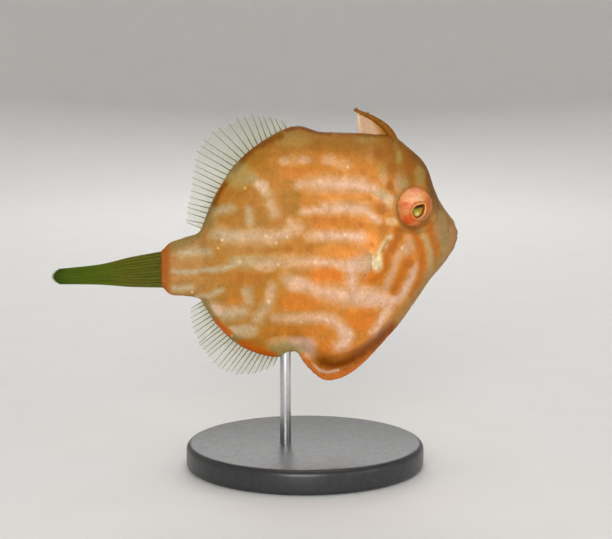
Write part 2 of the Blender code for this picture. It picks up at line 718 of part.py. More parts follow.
def stand(trunk, parts, cutters):
    """A round base with a rod that stands in it and enters the belly."""
    bpy.ops.mesh.primitive_cylinder_add(
        vertices=48,
        radius=BASE_RADIUS * MM,
        depth=BASE_HEIGHT * MM,
        location=(0, 0, BASE_HEIGHT / 2 * MM),
    )
    base = bpy.context.object
    base.name = "stand_base"
    base.data.materials.append(material("base"))
    edge = base.modifiers.new("rounded edge", "BEVEL")
    edge.width = BASE_EDGE_ROUND * MM
    edge.segments = 2
    x = DATUM.x + ROD_X
    belly = DATUM.z + flank_below(ROD_X)
    top = belly + ROD_DEPTH

    def rod_shape(name, radius, low, high):
        bpy.ops.mesh.primitive_cylinder_add(
            vertices=16,
            radius=radius * MM,
            depth=(high - low) * MM,
            location=(x * MM, 0, (low + high) / 2 * MM),
        )
        obj = bpy.context.object
        obj.name = name
        return obj

    rod = rod_shape("stand_rod", ROD_RADIUS, ROD_FOOT, top)
    rod.data.materials.append(material("rod"))
    for obj in (base, rod):
        move_to(obj, parts)
    base_hole = rod_shape("base_hole", ROD_RADIUS + GAP, ROD_FOOT - GAP, BASE_HEIGHT + HOLE_OVERRUN)
    belly_hole = rod_shape("belly_hole", ROD_RADIUS + GAP, belly - HOLE_OVERRUN, top + GAP)
    for obj in (base_hole, belly_hole):
        move_to(obj, cutters)
        obj.hide_render = True
        obj.display_type = "WIRE"
    cut(base, base_hole)
    cut(trunk, belly_hole)


def move_to(obj, collection):
    for old in list(obj.users_collection):
        old.objects.unlink(obj)
    collection.objects.link(obj)


def main():
    clear_scene()
    parts = new_collection("southern_pygmy_leatherjacket")
    cutters = new_collection("cutters", shown=False)
    whole = object_from_bmesh("whole_body", loft_body(), cutters)
    clearance = object_from_bmesh("body_clearance", grow(loft_body(), GAP), cutters)
    nodes = flesh_nodes(whole.data, parts, cutters)
    cut_head_details(nodes, whole, cutters)
    for side, sign in (("right", -1), ("left", 1)):
        eye(side, sign, parts, cutters)
        pectoral_fin(side, sign, flank_at(whole, *PECTORAL_ROOT), parts, clearance)
    dorsal = (DORSAL_BASE, DORSAL_RAYS, DORSAL_HEIGHTS, DORSAL_LEANS, DORSAL_WAVE)
    edge_fin("soft_dorsal_fin", TOPS, *dorsal, 1, parts)
    anal = (ANAL_BASE, ANAL_RAYS, ANAL_HEIGHTS, ANAL_LEANS, ANAL_WAVE)
    edge_fin("anal_fin", BOTTOMS, *anal, -1, parts)
    caudal_fin(parts)
    dorsal_spine(parts, cutters, clearance)
    datum = bpy.data.objects.new("fish_datum", None)
    datum.location = DATUM * MM
    parts.objects.link(datum)
    for obj in list(parts.objects) + list(cutters.objects):
        if obj is not datum:
            obj.parent = datum
    stand(nodes["trunk"], parts, cutters)
    for node in nodes.values():
        settle(node)


main()
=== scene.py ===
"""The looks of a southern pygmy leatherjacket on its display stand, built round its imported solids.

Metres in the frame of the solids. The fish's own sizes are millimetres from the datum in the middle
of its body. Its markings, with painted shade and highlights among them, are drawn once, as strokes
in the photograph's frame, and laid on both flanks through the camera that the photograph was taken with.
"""

import math
import random

import bmesh
import bpy
import numpy as np
from mathutils import Matrix, Vector, noise

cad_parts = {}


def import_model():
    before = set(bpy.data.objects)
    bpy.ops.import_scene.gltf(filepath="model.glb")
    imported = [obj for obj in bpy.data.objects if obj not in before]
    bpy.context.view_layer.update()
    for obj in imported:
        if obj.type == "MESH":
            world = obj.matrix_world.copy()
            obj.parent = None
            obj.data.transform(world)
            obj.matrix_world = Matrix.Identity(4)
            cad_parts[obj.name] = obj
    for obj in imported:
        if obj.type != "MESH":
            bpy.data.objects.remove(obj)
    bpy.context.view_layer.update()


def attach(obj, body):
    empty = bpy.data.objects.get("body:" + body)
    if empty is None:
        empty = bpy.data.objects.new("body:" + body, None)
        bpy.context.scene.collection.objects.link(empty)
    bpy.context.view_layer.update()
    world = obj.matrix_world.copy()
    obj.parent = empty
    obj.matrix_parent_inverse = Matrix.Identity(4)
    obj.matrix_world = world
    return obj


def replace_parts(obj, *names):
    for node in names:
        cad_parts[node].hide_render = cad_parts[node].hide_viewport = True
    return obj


MM = 0.001
GAP = 0.3
DATUM = np.array((2.0, 0.0, 45.0))

# Camera, as the photograph was taken
PHOTO_WIDTH = 612
PHOTO_HEIGHT = 539
AZIMUTH = math.radians(-10)
ELEVATION = math.radians(8)
LENS = 100.0
SENSOR = 36.0
DISTANCE = 340.0
CLIPPING = (0.01, 20.0)  # metres
TARGET = np.array((0.2, 0.0, 40.1))

# Body outline and thickness, as in the solids: a point of the back, a point of the belly, half width
STATIONS = (
    ((-30.4, -0.2), (-30.4, -8.0), 0.9), ((-29.0, 1.1), (-28.8, -9.2), 1.5),
    ((-26.2, 1.9), (-25.9, -9.6), 2.0), ((-23.2, 3.2), (-23.2, -10.3), 2.6),
    ((-21.8, 6.2), (-21.8, -12.5), 3.3), ((-19.8, 10.6), (-19.8, -15.6), 4.3),
    ((-16.6, 15.6), (-16.1, -19.3), 5.3), ((-12.2, 19.7), (-11.4, -21.8), 6.1),
    ((-7.2, 22.7), (-7.2, -22.5), 6.6), ((-3.2, 23.8), (-4.0, -21.6), 6.9),
    ((1.0, 22.6), (-1.4, -24.9), 7.0), ((6.0, 22.4), (2.5, -27.7), 6.9), ((11.1, 22.1), (7.6, -26.2), 6.7),
    ((15.8, 21.5), (13.0, -21.5), 6.3), ((19.8, 18.5), (17.6, -16.1), 5.8),
    ((22.7, 15.5), (20.9, -11.5), 5.2), ((24.1, 11.4), (23.8, -7.4), 4.4), ((25.8, 8.0), (26.3, -4.6), 3.4),
    ((28.3, 4.6), (28.4, -1.5), 2.1),
)
TOPS = [s[0] for s in STATIONS]
BOTTOMS = [s[1] for s in STATIONS]
HALF_WIDTHS = [s[2] for s in STATIONS]
SNOUT_CAP = 1.15
TAIL_CAP = 0.5
RIM_POWER = 0.62  # roundness of the flank towards its edges, fuller where lower
MUZZLE_POWER = 0.5
MUZZLE_STATIONS = (15.0, 17.5)
SOFTENING = 70  # steps of smoothing round the muzzle and above the flap
SOFT_MUZZLE = (21.5, 3.0)
SOFT_FROM = (-6, 3)
SOFT_UP_TO = (18, -3)
SKIN_ALONG = 330
SKIN_AROUND = 200
STATION_SAMPLES = 2000
CAP_RINGS = 12
EVEN_LEVELS = 0.45  # the rest of the spacing is denser towards back and belly

# The crease above the ventral flap is bent up from its lowest point, as far as its front end
CREASE_LOWEST = (3.0, -25.1)
CREASE_REAR_BEND = 0.10
CREASE_FRONT_BEND = 0.041
CREASE_FRONT_END = 17.5
FLAP_HALF_WIDTH = 0.65
# Where the flap fades in and out along the body and blends upwards: a start and a width
FLAP_START = (-6.6, 5.0)
FLAP_FADE = (13.0, 6.0)
FLAP_BLEND = (-0.3, 4.2)
SWELLINGS = (
    (10.9, -2.6, 2.1, 2.6, 0.75),  # x, z, radii, height: pad of the pectoral fin
    (28.2, 3.1, 1.5, 0.95, 0.55),  # upper lip
    (28.2, -0.3, 1.5, 0.85, 0.50),  # lower lip
    (17.5, -7.0, 5.0, 6.0, 0.45),  # cheek
)

# Head
EYE = np.array((18.9, 4.4, 7.8))
EYE_RADII = np.array((4.0, 3.1, 4.1))
PUPIL_SHIFT = (0.6, -0.65)
APERTURE = 0.36  # half angle of the opening in the eye's skin, radians
OPENING = (  # direction in degrees from forward to up, radius as a share of the mean
    (0, 0.84), (33, 1.13), (47, 1.40), (66, 1.02), (105, 0.88), (153, 0.88), (180, 0.97), (204, 0.96),
    (231, 1.02), (261, 1.12), (298, 0.91), (333, 0.86),
)
OPENING_BLUR = (-9, -4, 0, 4, 9)  # turns in degrees that its outline is averaged over
GLOBE_RADIUS = 2.4
GLOBE_DEPTH = 0.45  # how deep the eyeball lies under the opening
GLOBE_RINGS = 48
PUPIL_ANGLE = 0.50
EYE_LIP = (  # angle as a share of the opening's, depth below the eye's surface
    (1.14, 1.10), (1.00, 0.80), (0.93, 0.50), (0.93, 0.24), (0.99, 0.04), (1.10, -0.12), (1.26, -0.16),
    (1.45, -0.07), (1.70, 0.0),
)
EYE_LIP_RINGS = 30
EYE_OUTER_RINGS = 60
EYE_AROUND = 160
EYE_COVER = 150  # how far round the skin of the eye reaches, in degrees from its axis
NOSTRILS = ((24.2, 8.6), (24.8, 7.4))
GILL_TOP = (13.7, 1.9)
GILL_BOTTOM = (12.1, -1.0)
MOUTH_HEIGHT = 1.35
LIP_RADII = (1.9, 2.2)

# Heights and depths of the skin's relief
EYE_BED_DEPTH = 1.5
NOSTRIL_DEPTH = 0.4
NOSTRIL_RIM = 0.12
GILL_DEPTH = 0.30
GILL_LIP_HEIGHT = 0.16
MOUTH_DEPTH = 0.32
LIP_HEIGHT = 0.22

# Fins
DORSAL_RAYS = 26
DORSAL_BASE = (8.35, 3.25)  # from one station of the body to another
DORSAL_HEIGHTS = (1.8, 3.6, 5.4, 6.8, 7.8, 7.5, 6.4, 5.4, 4.6, 3.9, 2.8)
DORSAL_LEANS = (12, -6, -14, -8, 6, 10, 8, 4, 4, 6, 8)
DORSAL_WAVE = 0.8
ANAL_RAYS = 24
ANAL_BASE = (7.85, 3.3)
ANAL_HEIGHTS = (1.8, 3.6, 4.9, 5.6, 5.9, 5.8, 5.4, 4.9, 4.3, 3.5, 2.4)
ANAL_LEANS = (20, 16, 12, 10, 8, 6, 4, 2, 0, 0, 2)
ANAL_WAVE = 0.7
FIN_WAVES = 2.2
FIN_SUNK = 0.7  # length of a ray inside the body
EDGE_SAMPLES = 200
UNEVEN_LEAN = 3  # degrees to either side
UNEVEN_HEIGHT = (0.94, 1.0)
SCALLOP = 0.93
FIN_CURL = 0.22
FIN_CURLS = 37.0
RAY_RADIUS = (0.115, 0.03)
RAY_POINTS = 12
WEB_HALF = 0.05
WEB_SHORT = 0.012
WEB_STEPS = 6
WEB_ROWS = 14

CAUDAL_RAYS = 12
CAUDAL_ROOT_X = -29.9
CAUDAL_ROOT_Z = (-0.5, -7.8)
CAUDAL_WAIST = (-42.8, -2.9, -6.9)  # x, top, bottom
CAUDAL_TIP_X = -50.9
CAUDAL_TIP_Z = (-3.6, -6.6)
CAUDAL_TIP_ROUND = 1.3
CAUDAL_BULGE = 0.16
CAUDAL_FOLDS = (0.25, 1.5)  # depth, number
CAUDAL_HALF = (0.42, 0.16)  # half thickness at the root and the tip
CAUDAL_PLEAT = 0.09
CAUDAL_STEPS = 12
CAUDAL_ROWS = 70

PECTORAL_RAYS = 11
PECTORAL_ROOT = (10.0, -2.7)
PECTORAL_STATIONS = (8, 17)  # stations of the body with the fin's root between them
FLANK_SAMPLES = 400
PECTORAL_ROOT_SPAN = 2.8
PECTORAL_LENGTH = 6.6
PECTORAL_FAN = (38.0, -42.0)
PECTORAL_SPLAY = 38.0
PECTORAL_SUNK = 0.8
PECTORAL_CUP = 0.5
PECTORAL_ROWS = 12
PECTORAL_RAY_RADIUS = (0.055, 0.02)
PECTORAL_RAY_POINTS = 10

SPINE_PATH = ((16.2, 20.4), (15.3, 22.1), (14.2, 23.4), (12.9, 24.4), (11.4, 25.3), (9.7, 26.1), (7.9, 26.9))
SPINE_RADII = (0.85, 0.8, 0.72, 0.62, 0.52, 0.42, 0.28)
SPINE_WEB_REAR = ((9.0, 20.5), (8.7, 23.4), (8.5, 26.0))
SPINE_BARBS = ((4.4, 1), (5.1, -1), (5.7, 1))  # place along the spine, front or rear edge
BARB_LENGTH = 0.5
SPINE_RINGS = 60
SAIL_ALONG_SPINE = (0.2, 5.6)
SAIL_COLUMNS = 40
SAIL_ROWS = 36
SAIL_HALF = 0.11

# Stand
BASE_RADIUS = 24.0
BASE_HEIGHT = 5.0
BASE_EDGE_ROUND = 1.2
BASE_SIDES = 160
EDGE_STEPS = 5
SHARP_FROM = 35  # degrees
ROD_RADIUS = 1.1
ROD_FOOT = 1.6
ROD_TOP = 26.8
ROD_X = -4.0
ROD_EDGE_ROUND = 0.15
ROD_SIDES = 48

# Colours, as the eye sees them
CLEAR_OF_WATER = (1.02, 0.96, 1.02)  # takes a part of the water's green out of the colours
ORANGE = (0.78, 0.53, 0.19)
OCHRE = (0.65, 0.46, 0.12)
STRONG_ORANGE = (0.82, 0.50, 0.15)
BRIGHT_ORANGE = (0.91, 0.62, 0.28)
BACK_BROWN_AND_SHADE = (0.48, 0.34, 0.08)
BACK_TAN_AND_SHADE = (0.52, 0.38, 0.13)
HEAD_BROWN = (0.56, 0.34, 0.06)
PROFILE_SHADE = (0.39, 0.25, 0.05)
OLIVE = (0.60, 0.44, 0.10)
REAR_TAN = (0.69, 0.56, 0.35)
PALE = (0.85, 0.745, 0.61)
REAR_PALE = (0.70, 0.67, 0.50)
GREENISH = (0.62, 0.60, 0.36)
RED_EDGE = (0.48, 0.28, 0.0)
LOWER_RED = (0.78, 0.36, 0.03)
HUMP_EDGE = (0.45, 0.27, 0.0)
CLEAR_EDGE = (0.53, 0.47, 0.24)
STALK_END = (0.62, 0.34, 0.06)
SNOUT_GREY = (0.59, 0.50, 0.29)
SNOUT_GREEN = (0.57, 0.53, 0.31)
SNOUT_PINK = (0.64, 0.50, 0.32)
LIP_TAN = (0.61, 0.48, 0.29)
LIP_LINE = (0.56, 0.37, 0.15)
CHEEK_PALE_TINT = (0.77, 0.66, 0.52)
CHEEK_GREENISH = (0.68, 0.62, 0.42)
CHEEK_EDGE_TINT = (0.60, 0.50, 0.25)
CHEEK_ORANGE = (0.70, 0.41, 0.08)
MOUTH_BROWN = (0.38, 0.22, 0.10)
EYE_BED = (0.62, 0.36, 0.14)
EYE_EDGE_SHADE = (0.60, 0.54, 0.30)
CREASE_SHADE = (0.40, 0.27, 0.08)
FLAP_ORANGE = (0.74, 0.42, 0.12)
FLAP_SHEEN = (0.76, 0.68, 0.56)
FLAP_SHADE = (0.50, 0.25, 0.0)
GILL_HIGHLIGHT = (0.85, 0.87, 0.68)
DOT_BROWN = (0.60, 0.36, 0.10)
SAIL_PINK = (0.74, 0.61, 0.49)
SAIL_BROWN = (0.62, 0.40, 0.12)
SAIL_EDGE = (0.90, 0.80, 0.68)
BACK_LINE = (0.50, 0.32, 0.08)
NOSTRIL_BROWN = (0.30, 0.19, 0.08)
GILL_SLIT = (0.50, 0.28, 0.10)
CREAM = (0.86, 0.80, 0.60)
GLINT_CREAM = (1.0, 0.93, 0.78)
SHAFT_DARK = (0.42, 0.24, 0.0)
SHAFT_LIGHT = (0.57, 0.35, 0.03)
WEB_DARK = (0.50, 0.52, 0.28)
WEB_LIGHT = (0.66, 0.66, 0.42)
RAY_DARK = (0.26, 0.23, 0.09)
RAY_LIGHT = (0.48, 0.42, 0.20)
PECTORAL_DARK = (0.86, 0.66, 0.42)
PECTORAL_LIGHT = (0.94, 0.80, 0.60)
PECTORAL_RAY_DARK = (0.74, 0.50, 0.22)
PECTORAL_RAY_LIGHT = (0.90, 0.74, 0.46)
TAIL_WEB = ((0.27, 0.30, 0.06), (0.30, 0.31, 0.03), (0.28, 0.33, 0.01), (0.22, 0.31, 0.0))
TAIL_RAY = ((0.38, 0.37, 0.13), (0.40, 0.38, 0.08), (0.34, 0.38, 0.02), (0.27, 0.36, 0.01))
TURRET = (0.80, 0.52, 0.26)
TURRET_RED = (0.76, 0.33, 0.13)
TURRET_FOOT_SHADE = (0.50, 0.35, 0.12)
RIM_GOLD = (0.98, 0.70, 0.34)
RIM_SHADE = (0.38, 0.23, 0.04)
PUPIL_OLIVE = (0.54, 0.50, 0.14)
PUPIL_RIM_SHADOW = (0.20, 0.12, 0.01)
PUPIL_TAN = (0.70, 0.52, 0.16)
PUPIL_HIGHLIGHT = (1.0, 0.86, 0.62)
IRIS_GOLD = (0.80, 0.50, 0.10)

# Studio, in metres
PAPER_DARK = (0.84, 0.83, 0.81)
PAPER_LIGHT = (0.86, 0.85, 0.83)
FLOOR_FLAT = 0.55
FLOOR_BEND = 0.45
FLOOR_BEND_STEPS = 14
FLOOR_SIDES = 96
WALL_TOP = 1.3
LIGHTS = (  # name, place, size, power
    ("key", (-0.14, -0.60, 0.20), 0.34, 2.7),
    ("fill", (0.45, -0.38, 0.12), 0.40, 0.6),
    ("top", (0.05, 0.12, 0.60), 0.40, 0.8),
    ("rear", (0.10, 0.55, 0.35), 0.40, 1.0),
)
LIGHTS_AIM = (0, 0, 0.042)
SKY = (1.0, 0.99, 0.97)
SKY_STRENGTH = 0.24


def smoothstep(value):
    t = np.clip(value, 0.0, 1.0)
    return t * t * (3 - 2 * t)


def fade(value, start, width):
    """From 0 at start to 1 a width further on, which is a step back where the width is negative."""
    return smoothstep((value - start) / width)


def bell(value):
    """1 at 0, falling off smoothly on both sides."""
    return np.exp(-(value**2))


def between(ends, share):
    return ends[0] + (ends[1] - ends[0]) * share


def linear(colour):
    c = np.asarray(colour, float)
    return np.where(c <= 0.04045, c / 12.92, ((c + 0.055) / 1.055) ** 2.4)


def curve(points, t):
    """A Catmull-Rom curve through points, numbered from 0, at the numbers t."""
    points = np.asarray(points, float)
    if points.ndim == 1:
        points = points[:, None]
    t = np.atleast_1d(np.asarray(t, float))
    last = len(points) - 1
    i = np.clip(t.astype(int), 0, last - 1)
    f = (t - i)[:, None]
    b = points[i]
    c = points[i + 1]
    a = np.where((i > 0)[:, None], points[np.maximum(i - 1, 0)], 2 * b - c)
    d = np.where((i + 2 <= last)[:, None], points[np.minimum(i + 2, last)], 2 * c - b)
    return 0.5 * (2 * b + (c - a) * f + (2 * a - 5 * b + 4 * c - d) * f**2 + (3 * b - a - 3 * c + d) * f**3)


def value_along(values, share):
    return float(curve(values, share * (len(values) - 1))[0, 0])


# Camera and picture

def camera_axes():
    right = np.array((math.cos(AZIMUTH), math.sin(AZIMUTH), 0.0))
    level = np.array((math.sin(AZIMUTH), -math.cos(AZIMUTH), 0.0))
    back = level * math.cos(ELEVATION) + np.array((0.0, 0.0, math.sin(ELEVATION)))
    return right, np.cross(back, right), back


def in_photo(points):
    """Where points, in millimetres from the datum, lie in the photograph, in its pixels."""
    right, up, back = camera_axes()
    away = points + DATUM - TARGET
    depth = DISTANCE - away @ back
    scale = LENS / SENSOR * PHOTO_WIDTH / depth
    return PHOTO_WIDTH / 2 + away @ right * scale, PHOTO_HEIGHT / 2 - away @ up * scale


def add_camera():
    back = camera_axes()[2]
    data = bpy.data.cameras.new("camera")
    data.lens = LENS
    data.sensor_width = SENSOR
    data.clip_start, data.clip_end = CLIPPING
    camera = bpy.data.objects.new("camera", data)
    bpy.context.scene.collection.objects.link(camera)
    camera.location = Vector((TARGET + back * DISTANCE) * MM)
    camera.rotation_euler = Vector(-back).to_track_quat("-Z", "Y").to_euler()
    bpy.context.scene.camera = camera


# Meshes

def mesh_piece(name, points, faces, material):
    """A piece from points in millimetres from the datum."""
    mesh = bpy.data.meshes.new(name)
    placed = (np.asarray(points) + DATUM) * MM
    mesh.from_pydata(placed.tolist(), [], [tuple(int(i) for i in f) for f in faces])
    mesh.validate()
    clean = bmesh.new()
    clean.from_mesh(mesh)
    bmesh.ops.recalc_face_normals(clean, faces=clean.faces)
    clean.to_mesh(mesh)
    clean.free()
    mesh.shade_smooth()
    mesh.materials.append(material)
    piece = bpy.data.objects.new(name, mesh)
    bpy.context.scene.collection.objects.link(piece)
    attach(piece, "root")
    return piece


def add_colour(piece, colours):
    """Stores a colour at each point, given as the eye sees it."""
    layer = piece.data.color_attributes.new("markings", "FLOAT_COLOR", "POINT")
    values = np.ones((len(colours), 4), np.float32)
    values[:, :3] = linear(np.clip(colours, 0, 1))
    layer.data.foreach_set("color", values.ravel())


def add_share(piece, shares, name):
    layer = piece.data.attributes.new(name, "FLOAT", "POINT")
    layer.data.foreach_set("value", np.asarray(shares, np.float32))


def grid_faces(rows, columns, closed=False):
    faces = []
    for r in range(rows - 1):
        for c in range(columns if closed else columns - 1):
            d = (c + 1) % columns
            faces.append((r * columns + c, r * columns + d, (r + 1) * columns + d, (r + 1) * columns + c))
    return faces


def bumps(points, size, octaves=2, seed=0.0):
    """Smooth noise at each point, about -1 to 1, with features of the given size in millimetres."""
    out = np.empty(len(points))
    for i, p in enumerate(points / size + seed):
        out[i] = noise.fractal(p, 0.8, 2.1, octaves)
    return out


# Body

def crease_height(x):
    x0, z0 = CREASE_LOWEST
    inner = np.minimum(x, CREASE_FRONT_END)
    bend = np.where(x > x0, CREASE_FRONT_BEND, CREASE_REAR_BEND)
    return z0 + bend * (inner - x0) ** 2 + 2 * bend * (inner - x0) * (x - inner)


def above_crease(x, z):
    steep = np.hypot(1.0, 2 * CREASE_FRONT_BEND * (x - CREASE_LOWEST[0]))
    return (z - crease_height(x)) / steep


def flap_share(x, z):
    in_range = fade(x, *FLAP_START) * (1 - fade(x, *FLAP_FADE))
    return in_range * (1 - fade(above_crease(x, z), *FLAP_BLEND))


def eye_distance(x, z):
    """Distance from the eye's middle, 1 at its outline."""
    return np.hypot((x - EYE[0]) / EYE_RADII[0], (z - EYE[2]) / EYE_RADII[2])


def swelling_height(x, z):
    off = (eye_distance(x, z) - 1.06) * EYE_RADII[0] / 1.3
    total = 0.5 * bell(off)
    for cx, cz, rx, rz, height in SWELLINGS:
        total = total + height * np.exp(-(((x - cx) / rx) ** 2) - ((z - cz) / rz) ** 2)
    return total


def left_flank(stations, levels):
    """Points of the left flank, one row for each station."""
    top = curve(TOPS, stations)[:, None, :]
    bottom = curve(BOTTOMS, stations)[:, None, :]
    share = ((levels + 1) / 2)[None, :, None]
    xz = bottom * (1 - share) + top * share
    x = xz[:, :, 0]
    z = xz[:, :, 1]
    round_off = np.maximum(1 - levels**2, 0)
    first, last = MUZZLE_STATIONS
    power = RIM_POWER + (MUZZLE_POWER - RIM_POWER) * fade(stations, first, last - first)
    profile = round_off[None, :] ** power[:, None]
    full = curve(HALF_WIDTHS, stations) * profile
    thin = FLAP_HALF_WIDTH * round_off**0.12
    keel = flap_share(x, z)
    y = full * (1 - keel) + np.minimum(thin[None, :], full) * keel
    y = y + swelling_height(x, z) * smoothstep(profile / 0.55) * (1 - keel)
    return np.stack((x, y, z), axis=2)


def body_rings():
    numbers = np.linspace(0, len(STATIONS) - 1, STATION_SAMPLES)
    middle = (curve(TOPS, numbers)[:, 0] + curve(BOTTOMS, numbers)[:, 0]) / 2
    stations = np.interp(np.linspace(middle[0], middle[-1], SKIN_ALONG), middle, numbers)
    even = np.linspace(-1, 1, SKIN_AROUND + 1)
    levels = EVEN_LEVELS * even - (1 - EVEN_LEVELS) * np.cos(np.pi * (even + 1) / 2)
    levels[0] = -1.0
    levels[-1] = 1.0
    left = left_flank(stations, levels)
    right = left[:, -2:0:-1, :] * (1, -1, 1)
    return np.concatenate((left, right), axis=1)


def end_cap(ring, reach, count):
    """Rings that close an end in a round shape, reach past it."""
    middle = (ring[0] + ring[SKIN_AROUND]) / 2
    angles = np.linspace(0, np.pi / 2, count + 1)[1:-1]
    rings = [middle + (ring - middle) * math.cos(a) + np.array((reach * math.sin(a), 0, 0)) for a in angles]
    return rings, middle + np.array((reach, 0, 0))


def softened(grid):
    """The rings with their hard folds rounded off round the muzzle and above the flap."""
    x = grid[:, :, 0]
    z = grid[:, :, 2]
    belly = bell((above_crease(x, z) - 1.5) / 2.0) * fade(x, *SOFT_FROM) * fade(x, *SOFT_UP_TO)
    share = 0.5 * np.maximum(fade(x, *SOFT_MUZZLE), belly)[:, :, None]
    for _ in range(SOFTENING):
        around = (np.roll(grid, 1, axis=1) + np.roll(grid, -1, axis=1)) / 2
        along = grid.copy()
        along[1:-1] = (grid[:-2] + grid[2:]) / 2
        grid = grid * (1 - share) + (around + along) / 2 * share
    return grid


def skin_relief(points):
    """How far the skin stands out at each point, in millimetres."""
    x = points[:, 0]
    y = np.abs(points[:, 1])
    z = points[:, 2]
    # Eye: a bed under it, a crease round it and a fold below
    r = eye_distance(x, z)
    lower = fade(z, EYE[2] + 1.0, -3.0)
    side = -EYE_BED_DEPTH * (1 - fade(r, 0.76, 0.16))
    side += (0.12 - 0.24 * lower) * bell((r - 0.97) / 0.07)
    side += (0.08 + 0.12 * lower) * bell((r - 1.20) / 0.12)
    # Nostrils, two small pits with raised rims
    for nx, nz in NOSTRILS:
        d = np.hypot(x - nx, z - nz)
        side += NOSTRIL_RIM * bell((d - 0.45) / 0.18) - NOSTRIL_DEPTH * bell(d / 0.26)
    # Gill slit, with a lip behind it
    off, along = off_line(x, z, GILL_TOP, GILL_BOTTOM)
    slit = GILL_LIP_HEIGHT * bell((off + 0.55) / 0.35) - GILL_DEPTH * bell(off / 0.20)
    side += slit * fade(along, -0.2, 0.9) * fade(along, 3.5, -0.9)
    # Folds behind the lips and where the stalk leaves the body
    fold = bell((x - 27.0 + 0.04 * (z - 1.3) ** 2) / 0.3)
    side -= 0.10 * fold * fade(z, 5.5, -2.0) * fade(z, -1.5, 2.0)
    side -= 0.12 * bell((x + 22.6) / 0.5)
    relief = 0.035 * bumps(points, 0.9, 3) + 0.10 * bumps(points, 5.0, 2, 7.0) + side * fade(y, 0.8, 1.5)
    # Mouth and its lips
    front = fade(x, 27.2, 0.9)
    relief -= MOUTH_DEPTH * bell((z - mouth_line(y)) / 0.13) * front * fade(y, 1.7, -0.5)
    relief += LIP_HEIGHT * bell((lip_distance(y, z) - 0.5) / 0.35) * front
    relief -= 0.36 * fade(x, 28.2, 1.0)
    # Groove above the flap, and its own fine rays
    in_reach = fade(x, -2.5, 2.0) * fade(x, 17.0, -3.0)
    relief -= 0.06 * bell((above_crease(x, z) - 0.3) / 0.8) * in_reach * fade(y, 0.0, 0.5)
    relief += 0.05 * np.sin(x * 9.0 + z * 3.0) * flap_share(x, z)
    # Long muscles of the stalk
    return relief + 0.07 * np.sin((z + 4.3) * 2.3) * fade(x, -21.5, -2.0)


def mouth_line(y):
    """Height of the line of the mouth, which droops towards its corners."""
    return MOUTH_HEIGHT - 0.12 * y**2


def lip_distance(y, z):
    """Distance from the middle of the mouth, 1 where the lips end."""
    return np.hypot(y / LIP_RADII[0], (z - MOUTH_HEIGHT) / LIP_RADII[1])


def off_line(x, z, start, end):
    """Signed distance in front of a line and the distance along it."""
    a = np.array(start)
    b = np.array(end)
    along_axis = (b - a) / np.linalg.norm(b - a)
    dx = x - a[0]
    dz = z - a[1]
    along = dx * along_axis[0] + dz * along_axis[1]
    off = -(dx * along_axis[1] - dz * along_axis[0])
    return off, along


# Markings, with painted shade and highlights among them. Each stroke is its width and its points, in pixels
# of the photograph.

PALE_BANDS = (
    (9, (299, 185), (312, 184)), (14, (312, 184), (330, 184), (360, 184)),
    (9, (359, 185), (374, 189), (384, 197)), (11, (324, 208), (345, 208), (363, 209)),
    (7, (302, 212), (320, 210)), (7, (366, 211), (373, 216), (378, 220)),
    (12, (216, 234), (236, 236), (256, 235), (273, 237), (284, 234), (298, 228)),
    (8, (290, 222), (297, 232)), (10, (310, 236), (340, 236), (362, 237)),
    (5, (168, 272), (200, 271), (222, 269)), (6, (222, 269), (234, 265)),
    (11, (234, 262), (262, 262), (316, 262)), (8, (316, 262), (342, 264)),
    (11, (351, 264), (352, 280), (351, 296)), (5, (352, 264), (370, 265)),
    (9, (182, 253), (198, 251), (208, 252)), (6, (170, 288), (192, 288)),
    (5, (196, 296), (208, 297), (222, 290)), (9, (254, 179), (262, 187), (268, 194)),
    (9, (270, 202), (275, 214)), (8, (248, 211), (250, 222)), (8, (217, 210), (232, 208)),
    (12, (287, 279), (303, 285), (320, 291)), (15, (326, 293), (350, 297), (382, 300)),
    (9, (384, 303), (397, 300), (406, 288), (412, 277), (417, 268)), (9, (247, 290), (249, 302)),
    (9, (272, 286), (270, 300), (263, 312)), (12, (266, 308), (257, 319)), (11, (234, 331), (252, 330)),
    (13, (209, 308), (225, 315), (243, 312)), (9, (274, 318), (304, 318), (326, 318)),
    (10, (330, 319), (341, 327), (348, 336), (345, 345), (338, 347)),
    (9, (390, 305), (382, 320), (375, 333)),
)
FUZZY_PALES = (  # centre, radii, share
    ((302, 344), (17, 9), 0.9), ((310, 352), (8, 9), 0.7), ((366, 290), (16, 5), 0.5),
    ((344, 268), (9, 5), 0.6), ((262, 186), (8, 7), 0.7), ((266, 267), (14, 6), 0.5),
    ((360, 267), (14, 6), 0.9), ((330, 160), (10, 7), 0.6), ((296, 160), (22, 7), 0.35),
    ((344, 165), (10, 7), 0.45), ((370, 154), (5, 12), 0.3), ((284, 161), (6, 5), 0.5),
    ((304, 160), (6, 5), 0.5), ((389, 199), (6, 5), 0.5), ((349, 334), (6, 6), 0.7),
    ((402, 180), (6, 9), 0.6), ((384, 178), (5, 9), 0.5), ((362, 262), (16, 9), 0.7),
    ((382, 297), (14, 6), 0.5), ((250, 240), (34, 14), 0.3), ((297, 284), (14, 9), 0.6),
    ((244, 331), (15, 8), 0.6), ((282, 342), (18, 7), 0.5), ((342, 335), (6, 12), 0.5),
    ((366, 300), (26, 9), 0.4), ((398, 182), (5, 12), 0.6), ((392, 238), (4, 5), 0.5),
    ((216, 310), (10, 7), 0.6), ((232, 311), (9, 6), 0.35), ((269, 296), (5, 8), 0.35),
    ((245, 293), (4, 6), 0.3), ((284, 234), (9, 5), 0.35),
)
GREENISH_PALES = (
    ((239, 175), (16, 15), 0.7), ((292, 139), (24, 10), 0.35), ((212, 220), (8, 9), 0.4),
    ((285, 350), (20, 9), 0.8), ((381, 193), (8, 6), 0.4), ((420, 175), (7, 14), 0.5),
    ((366, 138), (14, 7), 0.4), ((404, 184), (7, 5), 0.6), ((244, 331), (13, 7), 0.4),
    ((399, 157), (4, 8), 0.55), ((395, 145), (4, 6), 0.3), ((381, 171), (5, 8), 0.35),
)
